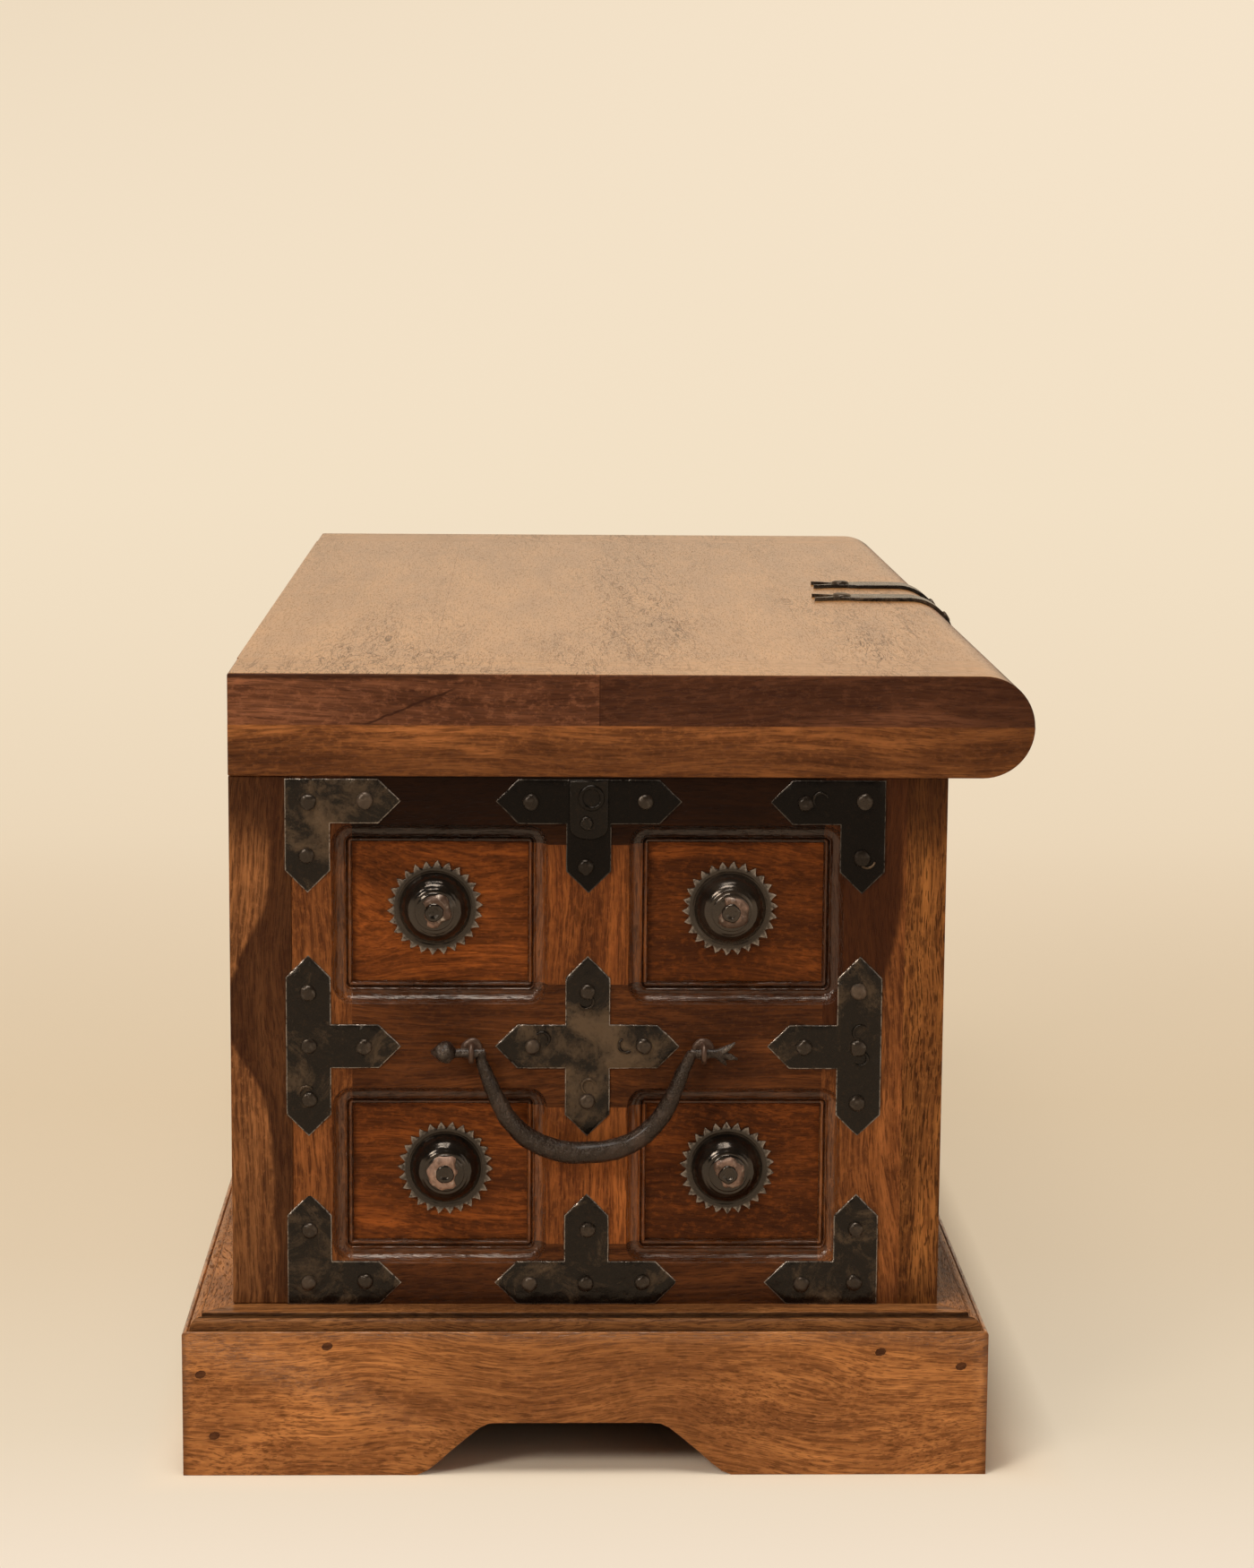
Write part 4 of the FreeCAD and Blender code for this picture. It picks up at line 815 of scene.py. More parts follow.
lipping("lid_end_lipping_boards", 220, 1,
        [layer(BACK_Y, False, first, last) for first, last in ((LID_X, LIP_X), (-LIP_X, -LID_X))],
        "lid_end_lippings", bevel=0.9, segments=3, arris=lambda a, b: min(a.z, b.z) < MIDDLE_Z - 0.1)
lipping("lid_front_lipping_board", 221, 0, [layer(NOSE_FRONT + FRONT_LIP, False, LIP_X, -LIP_X)],
        "lid_front_lipping", bevel=0.4)
lipping("lid_back_lipping_board", 222, 0, [box((LIP_X, BACK_Y - BACK_LIP, LID_Z), (-LIP_X, BACK_Y, MIDDLE_Z))],
        "lid_back_lipping", bevel=0.8)

# ---------------------------------------------------------------- plinth

# section of a plinth board: distance in from its face, and height
PLINTH_SECTION = [(0.0, 0.0), (0.0, 83.2), (0.5, 84.4), (1.6, 84.9), (2.6, 84.7), (2.9, 83.4), (3.8, 83.6),
                  (4.0, 85.4)]
PLINTH_SECTION += [(9.0 - 5.0 * math.cos(a * math.pi / 16), 85.4 + 5.8 * math.sin(a * math.pi / 16))
                   for a in range(1, 9)]
PLINTH_SECTION += [(9.6, 91.0), (10.4, 91.0), (10.5, 92.9), (11.2, 93.4), (34.0, 93.4), (34.0, 0.0)]
# half of the arch in a board's foot line: distance from a foot's inner corner, and height
ARCH = ((9.0, -6.0), (3.0, 0.0), (-2.5, 2.4), (-8.0, 6.6), (-16.0, 14.0), (-27.0, 23.4), (-33.0, 28.2),
        (-38.0, 30.6), (-44.0, 31.0))
FOOT = 143.0
# pegs of each kind of face: distance in from a corner, and height; the far ones come after the near ones
PEGS = {"long": ((17.5, 68.0), (17.5, 23.0), (72.0, 68.0)),
        "short": ((10.4, 60.0), (18.0, 23.6), (82.6, 76.5))}
FAR_PEGS = {"long": PEGS["long"], "short": ((15.4, 64.5), (61.8, 73.0))}


def plinth_detail(depth):
    """Tone and wear: the worked edge along the top is darker by depth; its two quirks are darkest, with
    painted shade in the grooves.
    """
    def detail(place):
        if place.z < 83.0:
            return 0.0, 0.0
        # painted shade in the two quirks
        if 83.3 < place.z < 84.2 or 90.9 < place.z < 92.95:
            return -0.85 * depth, 0.0
        if place.z < 85.2:
            return -0.10 * depth, 1.0
        return -(0.54 if place.z < 92.0 else 0.38) * depth, 0.0
    return detail


def plinth_board(half, offset, place):
    """A mitred board; its foot line is cut away in the middle, leaving a foot at each end."""
    board = strips([[place(end * (half - inward), inward, height) for inward, height in PLINTH_SECTION]
                    for end in (-1, 1)])
    outline = [(half - FOOT + a, b) for a, b in ARCH]
    outline = [(offset + a, b) for a, b in outline] + [(offset - a, b) for a, b in reversed(outline)]
    return carved(board, strips([[place(a, inward, b) for a, b in outline] for inward in (-3.0, 37.0)]))


def peg(across, height, place, outer, inner):
    """A whittled peg's end, between two depths in the board."""
    corners = [(3.3 * math.cos(a * math.pi / 4), 2.5 * math.sin(a * math.pi / 4 + 0.2)) for a in range(8)]
    return strips([[place(across + a, depth, height + b) for a, b in corners] for depth in (outer, inner)])


PLINTH_Y = limits("plinth_front")[0].y
PLINTH_BACK = limits("plinth_back")[1].y
PLINTH_X = limits("plinth_left")[0].x
HALF_SHORT = (PLINTH_BACK - PLINTH_Y) / 2
plinth_sides = (
    ("front", -PLINTH_X, 0.0, 0, lambda a, i, h: (a, PLINTH_Y + i, h)),
    ("back", -PLINTH_X, 0.0, 0, lambda a, i, h: (a, PLINTH_BACK - i, h)),
    ("left", HALF_SHORT, -6.5, 1, lambda a, i, h: (PLINTH_X + i, CENTRE_Y - a, h)),
    ("right", HALF_SHORT, -6.5, 1, lambda a, i, h: (-PLINTH_X - i, CENTRE_Y - a, h)),
)
pegs = Piece(310)
for number, (side, half, offset, axis, place) in enumerate(plinth_sides):
    board = Piece(300 + number)
    kind = "short" if axis else "long"
    spots = [(inset - half, height) for inset, height in PEGS[kind]]
    spots += [(half - inset, height) for inset, height in FAR_PEGS[kind]]
    holes = merged([peg(across, height, place, -2.0, 9.0) for across, height in spots])
    board.add(carved(plinth_board(half, offset, place), holes), None, axis, spread=0.03,
              detail=plinth_detail(1.0 if axis else 0.15))
    for across, height in spots:
        pegs.add(peg(across, height, place, 0.25, 8.9), None, axis)
    board.make("plinth_%s_board" % side, PLINTH_WOOD, "case", "plinth_wood", "plinth_" + side, bevel=0.9)
pegs.make("plinth_peg_ends", PEG_WOOD, "case", "peg_wood", "plinth_pegs")

# ---------------------------------------------------------------- iron plates

EAST, NORTH, WEST, SOUTH = range(4)
# an arm's reach, the length of its point and its half width, and the plate's thickness
REACH, TIP, HALF_BAR, PLATE = 52.6, 12.7, 12.7, 1.8
ACROSS = (-1.0, -0.94, -0.6, -0.2, 0.2, 0.6, 0.94, 1.0)


def quarter(x, y, side):
    cosine, sine = ((1, 0), (0, 1), (-1, 0), (0, -1))[side]
    return x * cosine - y * sine, x * sine + y * cosine


def distance(point, a, b):
    run = b - a
    share = max(0.0, min(1.0, (point - a).dot(run) / max(run.length_squared, 1e-9)))
    return (point - a - run * share).length


def plate(arms, chance, reach=REACH):
    """A cut plate with bars to the sides in arms, bevelled and dented; its tips bend down to the wood."""
    shape = bmesh.new()
    shoulder = reach - TIP
    cells = [[[(a * HALF_BAR, b * HALF_BAR) for a in ACROSS] for b in ACROSS]]
    for side in arms:
        rows = [(HALF_BAR + (shoulder - HALF_BAR) * i / 6, 1) for i in range(7)]
        rows += [(shoulder + TIP * i / 5, 1 - i / 5) for i in range(1, 6)]
        cells.append([[quarter(s, t * HALF_BAR * narrow, side) for t in ACROSS] for s, narrow in rows])
    for rows in cells:
        made = [[shape.verts.new((x, y, 0)) for x, y in row] for row in rows]
        for a, b in zip(made, made[1:]):
            for i in range(len(ACROSS) - 1):
                shape.faces.new((a[i], a[i + 1], b[i + 1], b[i]))
    bmesh.ops.remove_doubles(shape, verts=shape.verts, dist=0.02)
    rim = [e for e in shape.edges if e.is_boundary]
    border = [(e.verts[0].co.copy(), e.verts[1].co.copy()) for e in rim]
    edge = shape.verts.layers.float.new("edge")
    drift = Vector([chance.uniform(-50, 50) for _ in range(3)])
    droop = [chance.uniform(0.55, 1.25) for _ in range(4)]
    for v in shape.verts:
        near = min(distance(v.co, a, b) for a, b in border)
        x, y = v.co.xy
        side = (EAST if x > 0 else WEST) if abs(x) > abs(y) else (NORTH if y > 0 else SOUTH)
        fold = (max(abs(x), abs(y)) - shoulder + 1.5) / TIP if side in arms else 0.0
        wave = 0.28 * noise.noise(v.co * 0.07 + drift) + 0.14 * noise.noise(v.co * 0.2 + drift)
        bevel = 0.45 * max(0.0, 1 - near / 0.8)
        v.co.z = PLATE - 0.30 + wave - bevel - droop[side] * max(0.0, min(1.0, fold))
        v[edge] = max(0.0, 1 - near / 1.6)
        slack = 0.22 * noise.noise(v.co * 0.16 + drift * 1.7) if near < 0.4 else 0.0
        v.co.x += slack
        v.co.y += slack
    rim = [e for e in shape.edges if e.is_boundary]
    for v in bmesh.ops.extrude_edge_only(shape, edges=rim)["geom"]:
        if isinstance(v, bmesh.types.BMVert):
            v.co.z = 0.02
            v[edge] = 0.6
    return shape


def patina(heart, shade_under_lid=0.0):
    """Brown shows through by heart more at a plate's middle, and less at its tips; painted shade under the
    lid's overhang covers it all.
    """
    def detail(place):
        return heart * max(0.0, 1.0 - place.length / 50.0) - 0.05 - 0.02 * (place.length > 30.0) - shade_under_lid, None
    return detail


def nail(chance, size=4.9, rise=2.9):
    """A hand-made nail head: low, a little uneven, with a flattened crown."""
    seed = chance.uniform(0, 90)
    size *= chance.uniform(0.92, 1.0)
    rise *= chance.uniform(0.85, 1.0)
    profile = ((1.0, 0.0), (0.99, 0.32), (0.90, 0.68), (0.62, 0.93), (0.25, 1.0), (0.05 / size, 0.98))
    shape = lathe([(size * out, rise * up) for out, up in profile], 18, 0.55, seed)
    tilt = Vector((chance.uniform(-0.045, 0.045), chance.uniform(-0.045, 0.045)))
    for v in shape.verts:
        if v.co.z > 0.01:
            v.co.z += v.co.xy.dot(tilt)
    rub(shape, 0.4, 0.5, 0.5, seed, above=0.01)
    return shape


def tongue():
    """A round-ended tongue over a top plate's stem, with a ring at its head, about the plate's centre."""
    half, head, shoulder, bulge = 11.0, 12.4, -14.5, 7.0
    outline = [(-half, head), (half, head)]
    for a in range(13):
        angle = a * math.pi / 12
        outline.append((half * math.cos(angle), shoulder - bulge * math.sin(angle)))
    levels = ((1.0, -0.5), (1.0, 0.8), (0.96, 1.35), (0.9, 1.4))
    edged = [[(x * share, y * share, PLATE + rise) for x, y in outline] for share, rise in levels]
    ring = hoop(6.2, 1.5, 24)
    ring.transform(Matrix.Translation((1.3, 2.5, PLATE + 1.1)) @ Matrix.Rotation(math.pi / 2, 4, "X"))
    return merged([strips(edged), ring])


def curl(across, up, turn, sweep):
    """A small arc of wire lying on a plate, in the face's coordinates."""
    line = []
    for i in range(13):
        angle = math.radians(turn + sweep * i / 12)
        line.append((across + 4.2 * math.cos(angle), up + 4.2 * math.sin(angle), PLATE + 0.25,
                     0.5 + 0.45 * math.sin(math.pi * i / 12)))
    return tube(line, 8, 0.25, across)


# short bent ends of wire beside some nails of the left end: across, up, start and sweep in degrees
CURLS = ((-1.0, 272.0, 200, 190), (-26.0, 250.0, -60, 200), (1.0, 222.5, 20, 220), (22.0, 246.5, 120, 190),
         (156.0, 254.0, 40, 230), (156.0, 239.0, 220, 220), (131.0, 388.5, 20, 200), (158.0, 354.0, 160, 190),
         (-160.0, 218.0, 30, 170))
PLATE_ROWS = (106.3, RAIL_Z, 387.0)
PLATE_COLUMNS = {
    "left": (-158.8, 0.0, 155.2),
    "right": (-158.8, 0.0, 155.2),
    "front": [-411.2] + [PITCH * (i - 1.5) for i in range(4)] + [411.2],
}
NAIL_PLACE = 32.0
# the lid hinges: place across, how far a leaf stands out, its nails' size and rise, and their distances
# from the lid's foot
HINGE_ACROSS, LEAF, HINGE_NAIL, LEAF_NAILS = 252.0, 2.3, (4.7, 2.3), (32.0, 16.0)
nails = Piece(401)
tongues = Piece(404)
cross_ends = Piece(402)
for number, (side, columns) in enumerate(PLATE_COLUMNS.items()):
    kinds = {arms: Piece(408 + arms + 3 * number) for arms in (2, 3)}
    kinds[4] = Piece(412 + 3 * number) if side == "front" else cross_ends
    for column, across in enumerate(columns):
        for row, up in enumerate(PLATE_ROWS):
            arms = [arm for arm, there in ((EAST, column < len(columns) - 1), (NORTH, row < 2),
                                           (WEST, column > 0), (SOUTH, row > 0)) if there]
            piece = kinds[len(arms)]
            heart = 0.16 if piece is cross_ends else 0.14 if (column, row) == (0, 2) else 0.0
            # the top row's plates but the first column's, with their nails, and the tongue take painted shade
            # under the lid's overhang
            shade_under_lid = 0.35 if row == 2 and column else 0.0
            here = spot(side, across, up)
            piece.add(plate(arms, piece.chance), here, spread=0.02, detail=patina(heart, shade_under_lid))
            places = [quarter(NAIL_PLACE, 0, arm) for arm in arms]
            if side != "front" and column == 1 and row == 2:
                tongues.add(tongue(), here, spread=0.0, detail=patina(0.0, 0.25))
                on_tongue = here @ Matrix.Translation((-1.3, -12.0, 3.2))
                tongues.add(nail(tongues.chance, 4.2, 2.0), on_tongue, spread=0.02)
                places[arms.index(SOUTH)] = (-1.0, -37.5)
            elif len(arms) < 4:
                places.append((0.0, 0.0))
            for right, above in places:
                chance = nails.chance
                nails.add(nail(chance), spot(side, across + right + chance.uniform(-1, 1),
                                             up + above + chance.uniform(-1, 1), PLATE - 0.35),
                          detail=patina(0.0, 0.6 * shade_under_lid))
    for arms, kind in ((2, "corner"), (3, "tee"), (4, "cross")):
        if kinds[arms] is not cross_ends:
            kinds[arms].make("%s_%s_plate_irons" % (side, kind), PLATE_IRON, "case", "plate_iron",
                             "%s_%s_plates" % (side, kind))
cross_ends.make("end_cross_plate_irons", PLATE_IRON, "case", "plate_iron", "end_cross_plates")
for across, up, turn, sweep in CURLS:
    tongues.add(curl(across, up, turn, sweep), FACES["left"])
tongues.make("plate_tongue_irons", PLATE_IRON, "case", "plate_iron", smooth=60)
staple = Piece(403)
staple.add(plate((EAST, WEST), staple.chance, 30.0), spot("front", 0.0, RAIL_Z))
staple.make("staple_plate_iron", PLATE_IRON, "case", "plate_iron", "staple_plate")
for sign in (-1, 1):
    nails.add(nail(nails.chance), spot("front", 22.6 * sign, RAIL_Z, PLATE - 0.35))
    for drop in LEAF_NAILS:
        nails.add(nail(nails.chance, *HINGE_NAIL), spot("back", HINGE_ACROSS * sign, LID_Z - drop, LEAF))
nails.make("plate_nail_heads", NAIL_IRON, "case", "nail_iron", "plate_nails")

# ---------------------------------------------------------------- bosses


def boss(chance):
    """A toothed rim, a groove and a polished dome with turned rings."""
    teeth = 26
    cut = (1.0, 0.935, 0.855, 0.90)
    seed = chance.uniform(0, 90)

    def tooth(i):
        return 27.4 * cut[i % 4] + (0.5 * noise.noise(Vector((i * 0.9, 0, seed))) if i % 4 == 0 else 0)

    profile = [(tooth, 0.0), (tooth, 1.35), (23.0, 1.9), (21.6, 1.9), (20.9, 1.5), (20.5, 1.5), (20.2, 2.2),
               (19.5, 4.0), (18.2, 6.9), (16.6, 9.3), (15.9, 9.9), (15.5, 10.6), (14.0, 11.9), (13.3, 12.2),
               (12.9, 12.7), (11.6, 13.3), (11.0, 13.3), (10.6, 13.8), (9.4, 14.2), (8.8, 14.2), (8.4, 14.5),
               (6.0, 14.8), (0.05, 14.9)]
    shape = lathe(profile, teeth * 4, 0.12, seed)
    edge = shape.verts.layers.float.new("edge")
    for v in shape.verts:
        reach = v.co.xy.length
        if reach > 22.9:
            v.co.z += 0.28 * noise.noise(Vector((v.co.x * 0.2, v.co.y * 0.2, seed))) * (v.co.z > 0.5)
            v[edge] = 1.0 if reach > 24.5 else 0.6
    return shape


def rivet(chance):
    """The boss's rivet, hammered over, and a torn collar of rusty iron under it."""
    seed = chance.uniform(0, 90)
    head = lathe([(5.0, 14.6), (5.5, 15.3), (5.2, 16.4), (4.3, 17.0), (3.0, 16.8), (2.4, 16.1), (1.0, 16.0),
                  (0.05, 16.2)], 20, 1.1, seed)
    count = 28
    gap = chance.randrange(count)
    rings = []
    for reach, rise in ((4.6, 14.7), (5.1, 15.9), (6.6, 16.2), (8.4, 15.5), (9.2, 14.4)):
        ring = []
        for i, (cosine, sine) in enumerate(spokes(count)):
            torn = noise.noise(Vector((cosine * 1.6, sine * 1.6, seed))) * 2.6
            shrink = 1.9 if min((i - gap) % count, (gap - i) % count) < 4 else 0.0
            r = max(4.9, reach + (torn - shrink) * (reach - 5.0) / 3.4)
            ring.append((r * cosine, r * sine, rise + 0.35 * torn * (rise > 15)))
        rings.append(ring)
    collar = strips(rings, caps=False)
    rub(collar, 0.35, 0.5, 0.5, seed)
    return head, collar


# across and up; each end's bosses sit a little off their panels' middles, and the staple takes one's place
end_spots = [(PITCH / 2 * side + (3.0 if (side, up) == (-1, LOWER_Z) else -3.0), up + 2.0)
             for side in (-1, 1) for up in (LOWER_Z, UPPER_Z)]
front_spots = [(PITCH * i, up) for i in range(-2, 3) for up in (LOWER_Z, UPPER_Z) if (i, up) != (0, UPPER_Z)]
for name, sides, spots in (("end", ("left", "right"), end_spots), ("front", ("front",), front_spots)):
    domes = Piece(501)
    rivets = Piece(502)
    for side in sides:
        for across, up in spots:
            turn = domes.chance.uniform(0, 6)
            domes.add(boss(domes.chance), spot(side, across, up, PANEL_FACE, turn))
            head, collar = rivet(rivets.chance)
            domes.add(head, spot(side, across, up, PANEL_FACE))
            rivets.add(collar, spot(side, across, up, PANEL_FACE, turn * 3))
    domes.make(name + "_boss_domes", BOSS_IRON, "case", "boss_iron", name + "_bosses", smooth=50)
    rivets.make(name + "_boss_rivets", RUSTY_IRON, "case", "boss_iron", smooth=60)

# ---------------------------------------------------------------- bail handles

# the pivot's height and distance out of the face, and half the eyes' spacing
BAIL_Z, BAIL_OUT, EYE_ACROSS = RAIL_Z - 1.6, 11.0, 66.0
# the bar's middle line seen from outside: to the right, up, and the bar's radius
BAIL_LINE = (
    (-60.5, 0.5, 3.0), (-60.2, -4.5, 3.3), (-57.5, -12.0, 3.9), (-53.5, -22.0, 4.6), (-47.0, -35.0, 5.2),
    (-38.5, -45.5, 5.7), (-27.0, -53.2, 6.1), (-13.5, -57.3, 6.3), (0.0, -58.0, 6.3), (13.0, -56.6, 6.2),
    (25.0, -52.2, 6.0), (36.0, -44.0, 5.6), (44.5, -33.0, 5.1), (50.0, -21.0, 4.5), (54.5, -10.0, 3.8),
    (57.5, -3.5, 3.3), (59.5, 0.5, 3.0))
# the left end's pear: distance past its neck, and radius; the right end's prongs: to the right and up
PEAR = ((0.0, 2.6), (1.2, 3.8), (3.0, 5.9), (5.2, 6.5), (7.6, 6.1), (10.2, 4.3), (12.4, 2.2), (14.0, 0.7))
PRONGS = ((10.8, 6.2), (12.2, -3.4), (5.8, -6.8))
PEAR_START, PRONG_START = -75.0, 73.0


def bail(seed):
    """The forged bar with its pear on the left end and its barb on the right, in the face's coordinates."""
    bar = tube([(x, y, 0.0, r) for x, y, r in smooth_line(BAIL_LINE, 4)], 18, 0.55, seed)
    steps = (58.5, 62.0, 66.0, 70.0, 74.0, 77.0)
    necks = [tube([(sign * s, 0.0, 0.0, 2.6) for s in steps[:count]], 12, 0.25, seed)
             for sign, count in ((-1, 6), (1, 5))]
    pear = tube([(PEAR_START - s, 0.2 * s ** 0.5, 0.0, r) for s, r in PEAR], 16, 0.5, seed)
    prongs = [tube([(PRONG_START + x * s, y * t, 0.0, r)
                    for s, t, r in ((0.0, 0.0, 2.5), (0.35, 0.22, 2.4), (0.7, 0.62, 1.8), (1.0, 1.0, 0.5))],
                   10, 0.4, seed) for x, y in PRONGS]
    ends = merged([pear] + necks + prongs)
    rub(ends, 0.25, 0.62, 0.3)
    return merged([ends, bar])


def eye(chance):
    """A ring-headed spike, seen end on, with a small rose against the wood."""
    shank = lathe([(2.3, -11.0), (2.2, -8.0), (2.0, -5.0), (0.05, -4.4)], 14, 0.4, chance.uniform(0, 50))
    rose = lathe([(6.4, -11.0), (6.3, -10.0), (5.2, -9.3), (3.0, -9.0), (0.05, -9.0)], 20, 0.5,
                 chance.uniform(0, 50))
    return merged([hoop(4.6, 1.6, 20, 0.2), shank, rose])


eyes = Piece(601)
for number, side in enumerate(("left", "right")):
    handle = Piece(610 + number)
    handle.add(bail(3.0 + number), spot(side, 0.0, BAIL_Z, BAIL_OUT))
    handle.make(side + "_bail", FORGED_IRON, side + "_bail", "forged_bar", side + "_handle", smooth=70)
    for across in (-EYE_ACROSS, EYE_ACROSS):
        eyes.add(eye(eyes.chance), spot(side, across, BAIL_Z, BAIL_OUT, math.pi / 2),
                 spread=0.02, detail=lambda place: (-0.12, None))
eyes.make("handle_eye_spikes", RUSTY_IRON, "case", "forged_bar", "handle_eyes", smooth=60)

# ---------------------------------------------------------------- straps and nails on the lid

# a strap's tail: distance behind it, and the outer and inner edge of a prong
FISHTAIL = ((0.0, 13.6, 11.8), (3.0, 13.1, 10.4), (7.0, 11.8, 8.2), (11.0, 10.4, 5.4), (15.0, 9.3, 2.2),
            (18.0, 8.9, 0.05), (21.0, 8.8, 0.05), (25.0, 9.6, 0.05), (29.0, 11.6, 0.05), (32.0, 12.7, 0.05),
            (45.0, 12.7, 0.05))
STRAP, STRAP_ACROSS = 2.5, 42.5
KNUCKLE_Z = LID_Z - 5.5
# a knuckle's radii, and their places along the hasp's pin
KNUCKLE = ((3.0, -12.6), (4.7, -12.6), (5.0, -12.3), (5.0, 12.3), (4.7, 12.6), (3.0, 12.6))


def strap(across, tail):
    """A strap with a fishtail at y = tail, laid along the lid and round its nose to the knuckle."""
    upright = Vector((0, 0, 1))
    rings = [(Vector((0, tail - back, TOP_Z)), upright, outer, inner) for back, outer, inner in FISHTAIL]
    rings.append((Vector((0, NOSE_Y + 0.1, TOP_Z)), upright, HALF_BAR, 0.05))
    for i in range(1, 25):
        angle = math.pi * i / 24
        up = Vector((0, -math.sin(angle), math.cos(angle)))
        rings.append((Vector((0, NOSE_Y, MIDDLE_Z)) + up * NOSE_R, up, HALF_BAR, 0.05))
    halves = []
    for sign in (-1, 1):
        made = []
        for base, up, outer, inner in rings:
            near = base + Vector((across + sign * inner, 0, 0))
            far = base + Vector((across + sign * outer, 0, 0))
            made.append([near, near + up * STRAP, far + up * STRAP - Vector((sign * 0.5, 0, 0)),
                         far + up * (STRAP - 0.5), far])
        halves.append(strips(made))
    shape = merged(halves)
    bmesh.ops.remove_doubles(shape, verts=shape.verts, dist=0.12)
    return shape


straps = Piece(701)
lid_nails = Piece(702)
for sign in (-1, 1):
    tail = NOSE_FRONT + 90.5 - 3.0 * sign
    middle = STRAP_ACROSS * sign
    straps.add(strap(middle, tail))
    along_pin = Matrix.Translation((middle, NOSE_Y, KNUCKLE_Z)) @ Matrix.Rotation(math.pi / 2, 4, "Y")
    straps.add(lathe(KNUCKLE, 28), along_pin)
    chance = lid_nails.chance
    lid_nails.add(nail(chance, 6.2, 2.3), Matrix.Translation((middle, tail - 19.5, TOP_Z + 2.4)))
    round_nose = Matrix.Translation((middle, NOSE_Y, MIDDLE_Z)) @ Matrix.Rotation(math.radians(56), 4, "X")
    lid_nails.add(nail(chance, 4.2, 1.9), round_nose @ Matrix.Translation((0, 0, NOSE_R + 2.3)))
    for rise in LEAF_NAILS:
        lid_nails.add(nail(chance, *HINGE_NAIL), spot("back", HINGE_ACROSS * sign, LID_Z + rise, LEAF))
straps.make("hasp_strap_irons", PLATE_IRON, "lid", "plate_iron", "hasp_straps")
lid_nails.make("lid_nail_heads", NAIL_IRON, "lid", "nail_iron", "lid_nails")

# ---------------------------------------------------------------- pieces carried over from the CAD model

for material, nodes in (
        (INSIDE_WOOD[0], ("back_top_rail", "back_bottom_rail", "back_panels", "floor_battens")),
        (INSIDE_WOOD[1], ("floor_boards",)),
        (INSIDE_WOOD[2], ("back_muntins", "plinth_corner_blocks")),
        (PLATE_IRON, ("hinge_case_leaves", "hinge_lid_leaves", "hasp_plate")),
        (PIN_STEEL, ("hinge_pins", "hasp_pin")),
        (FORGED_IRON, ("hasp_staple",))):
    for node in nodes:
        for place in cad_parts[node].material_slots:
            place.link = "OBJECT"
            place.material = material

# ---------------------------------------------------------------- camera, light and setting

# as worked out from the photo: the camera's place in metres, its turns in radians and its lens
PLACE, LENS = (-2.43390, 0.04572, 0.70705), 81.467
YAW, PITCH_DOWN, ROLL = -0.02787, 0.15546, 0.00799
level = math.cos(PITCH_DOWN)
ahead = Vector((level * math.cos(YAW), level * math.sin(YAW), -math.sin(PITCH_DOWN)))
right = Vector((math.sin(YAW), -math.cos(YAW), 0))
above = right.cross(ahead)
cosine, sine = math.cos(ROLL), math.sin(ROLL)
right, above = right * cosine + above * sine, above * cosine - right * sine
camera = linked("camera", bpy.data.cameras.new("camera"))
camera.data.lens = LENS
camera.data.sensor_width = 36.0
camera.data.clip_start, camera.data.clip_end = 0.05, 150.0
camera.matrix_world = facing(right, above, -ahead, PLACE)
bpy.context.scene.camera = camera

# area lamps: place and aim in metres, side, power and colour
for name, place, aim, size, power, colour in (
        ("key", (-2.7, 1.9, 2.3), (-0.2, 0.0, 0.25), 0.9, 54.0, (1.0, 0.96, 0.91)),
        ("top", (-0.9, 0.3, 3.1), (-0.1, 0.0, 0.2), 1.4, 64.0, (1.0, 0.98, 0.95)),
        ("fill", (-2.8, -2.2, 1.2), (0.0, 0.0, 0.2), 1.8, 8.0, (1.0, 0.96, 0.92))):
    lamp = linked(name, bpy.data.lights.new(name, "AREA"))
    lamp.data.shape = "RECTANGLE"
    lamp.data.size = lamp.data.size_y = size
    lamp.data.energy = power
    lamp.data.color = colour
    lamp.location = place
    lamp.rotation_euler = (Vector(aim) - Vector(place)).to_track_quat("-Z", "Y").to_euler()

# plain light; where the world itself is seen, it is as pale as the far floor up to 20 degrees, and dim above
LIGHT = 0.20
sh = Shader(bpy.data.worlds.new("world"))
seen = sh.shown()
rise = sh.get("SeparateXYZ", "Z", {0: sh.add("TexCoord").outputs["Generated"]})
pale = sh.fade(rise, 0.35, 0.20) * 0.95 + 0.05
sky = sh.add("Background", {"Color": sh.mix(seen, (1.0, 0.96, 0.90, 1), (0.87, 0.74, 0.59, 1)),
                            "Strength": seen * (pale - LIGHT) + LIGHT})
bpy.context.scene.world = sh.finish(sky)

# the floor's and wall's colours by their place along the sweep; their darker middle, about the chest, is
# painted fall-off of light
PAPER = ((-0.62, (0.87, 0.74, 0.59)), (-0.40, (0.79, 0.66, 0.49)), (-0.04, (0.75, 0.60, 0.42)),
         (0.40, (0.75, 0.59, 0.40)), (1.30, (0.81, 0.65, 0.46)), (2.66, (0.89, 0.75, 0.56)),
         (3.45, (0.91, 0.77, 0.59)))
FLOOR_END, SWEEP_R, WALL_TOP, FAR = 1.6, 0.9, 8.0, 60.0
# half sizes of the chest's footprint
FOOTPRINT = (("X", 0.484), ("Y", 0.242))


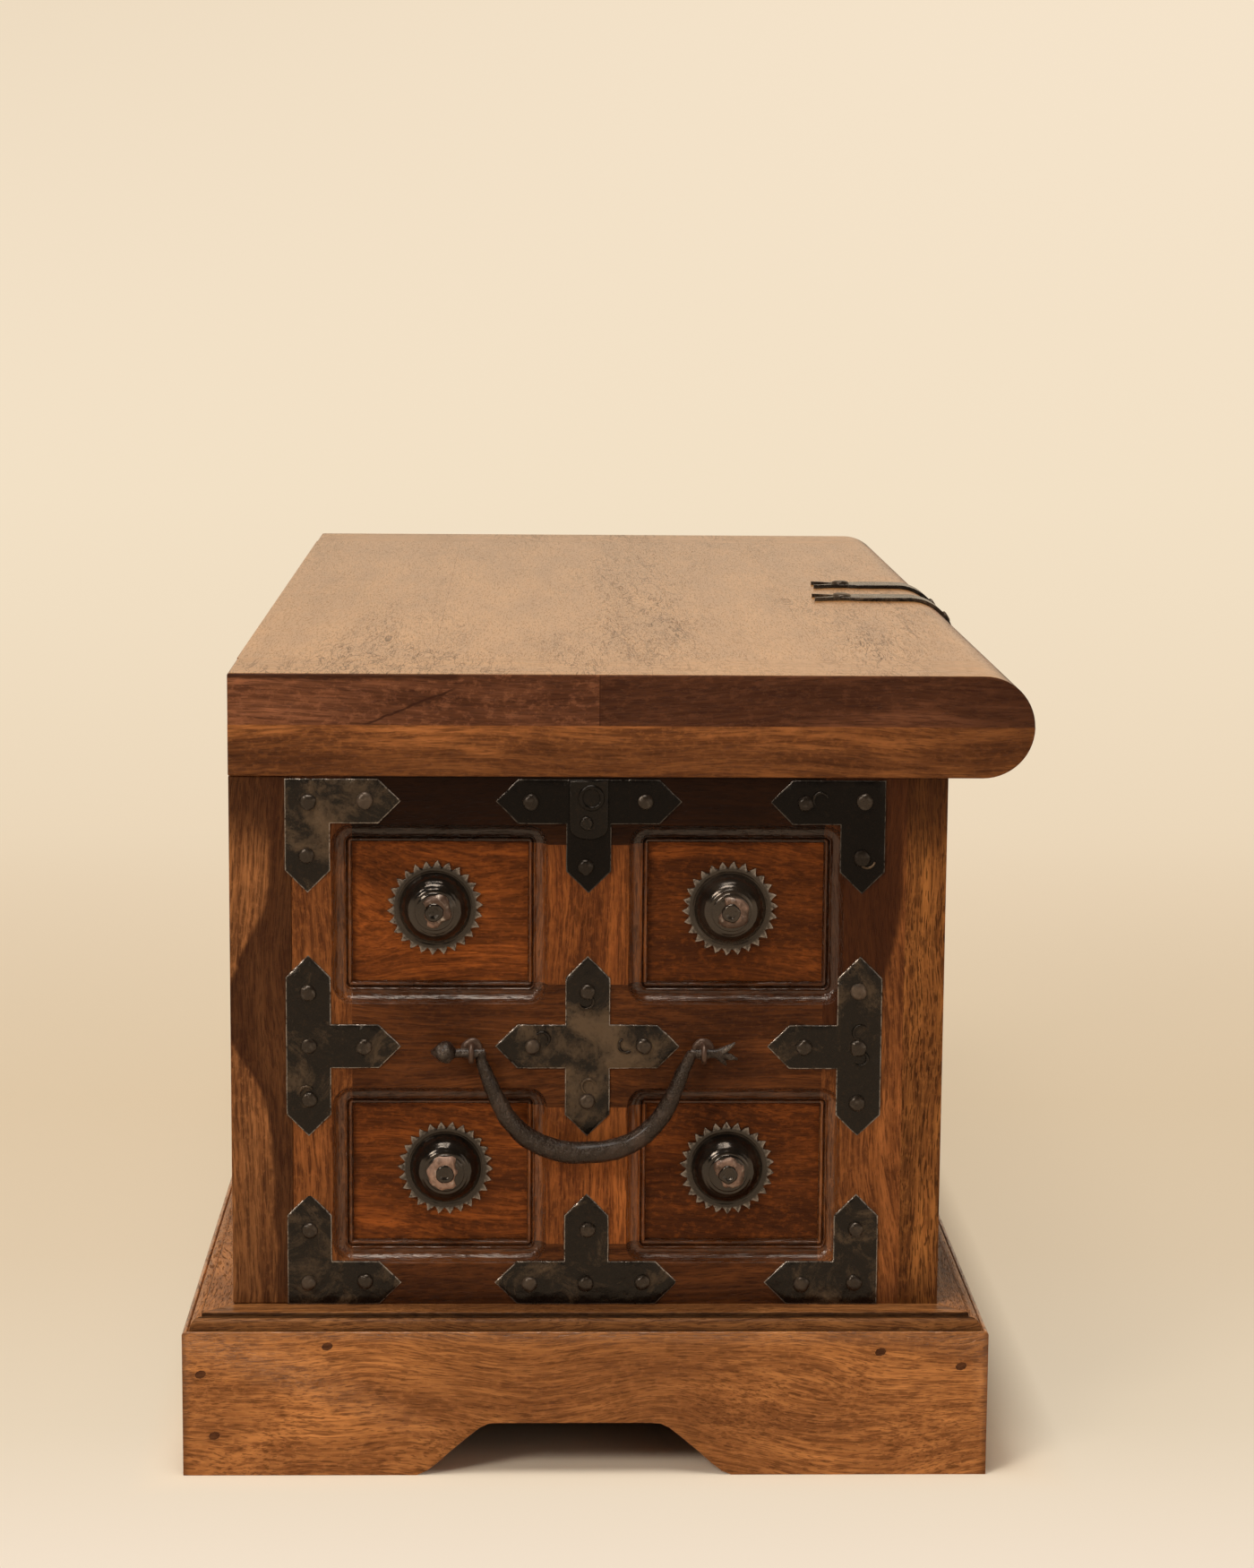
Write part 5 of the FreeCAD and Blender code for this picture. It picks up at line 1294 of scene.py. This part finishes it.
def backdrop_paper():
    """Pale paper; its own light is seen but doesn't light the object, and its rear side isn't seen."""
    sh = Shader(bpy.data.materials.new("backdrop"))
    axes = sh.add("SeparateXYZ", {0: sh.add("NewGeometry").outputs["Position"]}).outputs
    x, y, z = [Value(sh, axis) for axis in axes]
    travel = sh.get("MapRange", 0, {"Value": x + z, "From Min": -1.0, "From Max": 4.0})
    paint = sh.ramp(travel, *[((place + 1.0) / 5.0, shade) for place, shade in PAPER])
    # painted light: the wall is darker high up towards +y
    paint = sh.mix(sh.fade(y, -0.7, 1.1) * sh.fade(z, 0.3, 1.6), paint, (0.80, 0.66, 0.48, 1))
    clear = sh.most(*[abs(Value(sh, axes[axis])) - half for axis, half in FOOTPRINT])
    # painted shadow: the floor's paint is darker under the chest
    shadow_under_chest = sh.fade(clear, -0.06, -0.15) * 0.75
    paper = sh.add("BsdfDiffuse", {"Color": sh.mix(shadow_under_chest, paint, (0.05, 0.035, 0.02, 1))})
    glow = sh.add("Emission", {"Color": paint, "Strength": 1.0})
    # the floor shows only its lit colour under the object, and more of its own light away from it
    near, far = [sh.get("MapRange", 0, {"Value": clear, "From Min": low, "From Max": high, "To Max": share})
                 for low, high, share in ((-0.01, 0.03, 0.79), (0.1, 1.2, 0.21))]
    upper = sh.add("MixShader", {0: sh.shown() * (near + far), 1: paper, 2: glow})
    behind = sh.add("NewGeometry").outputs["Backfacing"]
    return sh.finish(sh.add("MixShader", {0: behind, 1: upper, 2: sh.add("BsdfTransparent")}))


path = [(-FAR, 0.0), (FLOOR_END, 0.0)]
for a in range(1, 13):
    angle = a * math.pi / 24
    path.append((FLOOR_END + SWEEP_R * math.sin(angle), SWEEP_R - SWEEP_R * math.cos(angle)))
path.append((FLOOR_END + SWEEP_R, WALL_TOP))
shape = bmesh.new()
rows = [[shape.verts.new((x, y, z)) for y in (-FAR, FAR)] for x, z in path]
for a, b in zip(rows, rows[1:]):
    shape.faces.new((a[0], b[0], b[1], a[1])).smooth = True
backdrop = linked("backdrop", as_mesh("backdrop", shape))
backdrop.data.materials.append(backdrop_paper())
bpy.context.scene.view_settings.view_transform = "Standard"
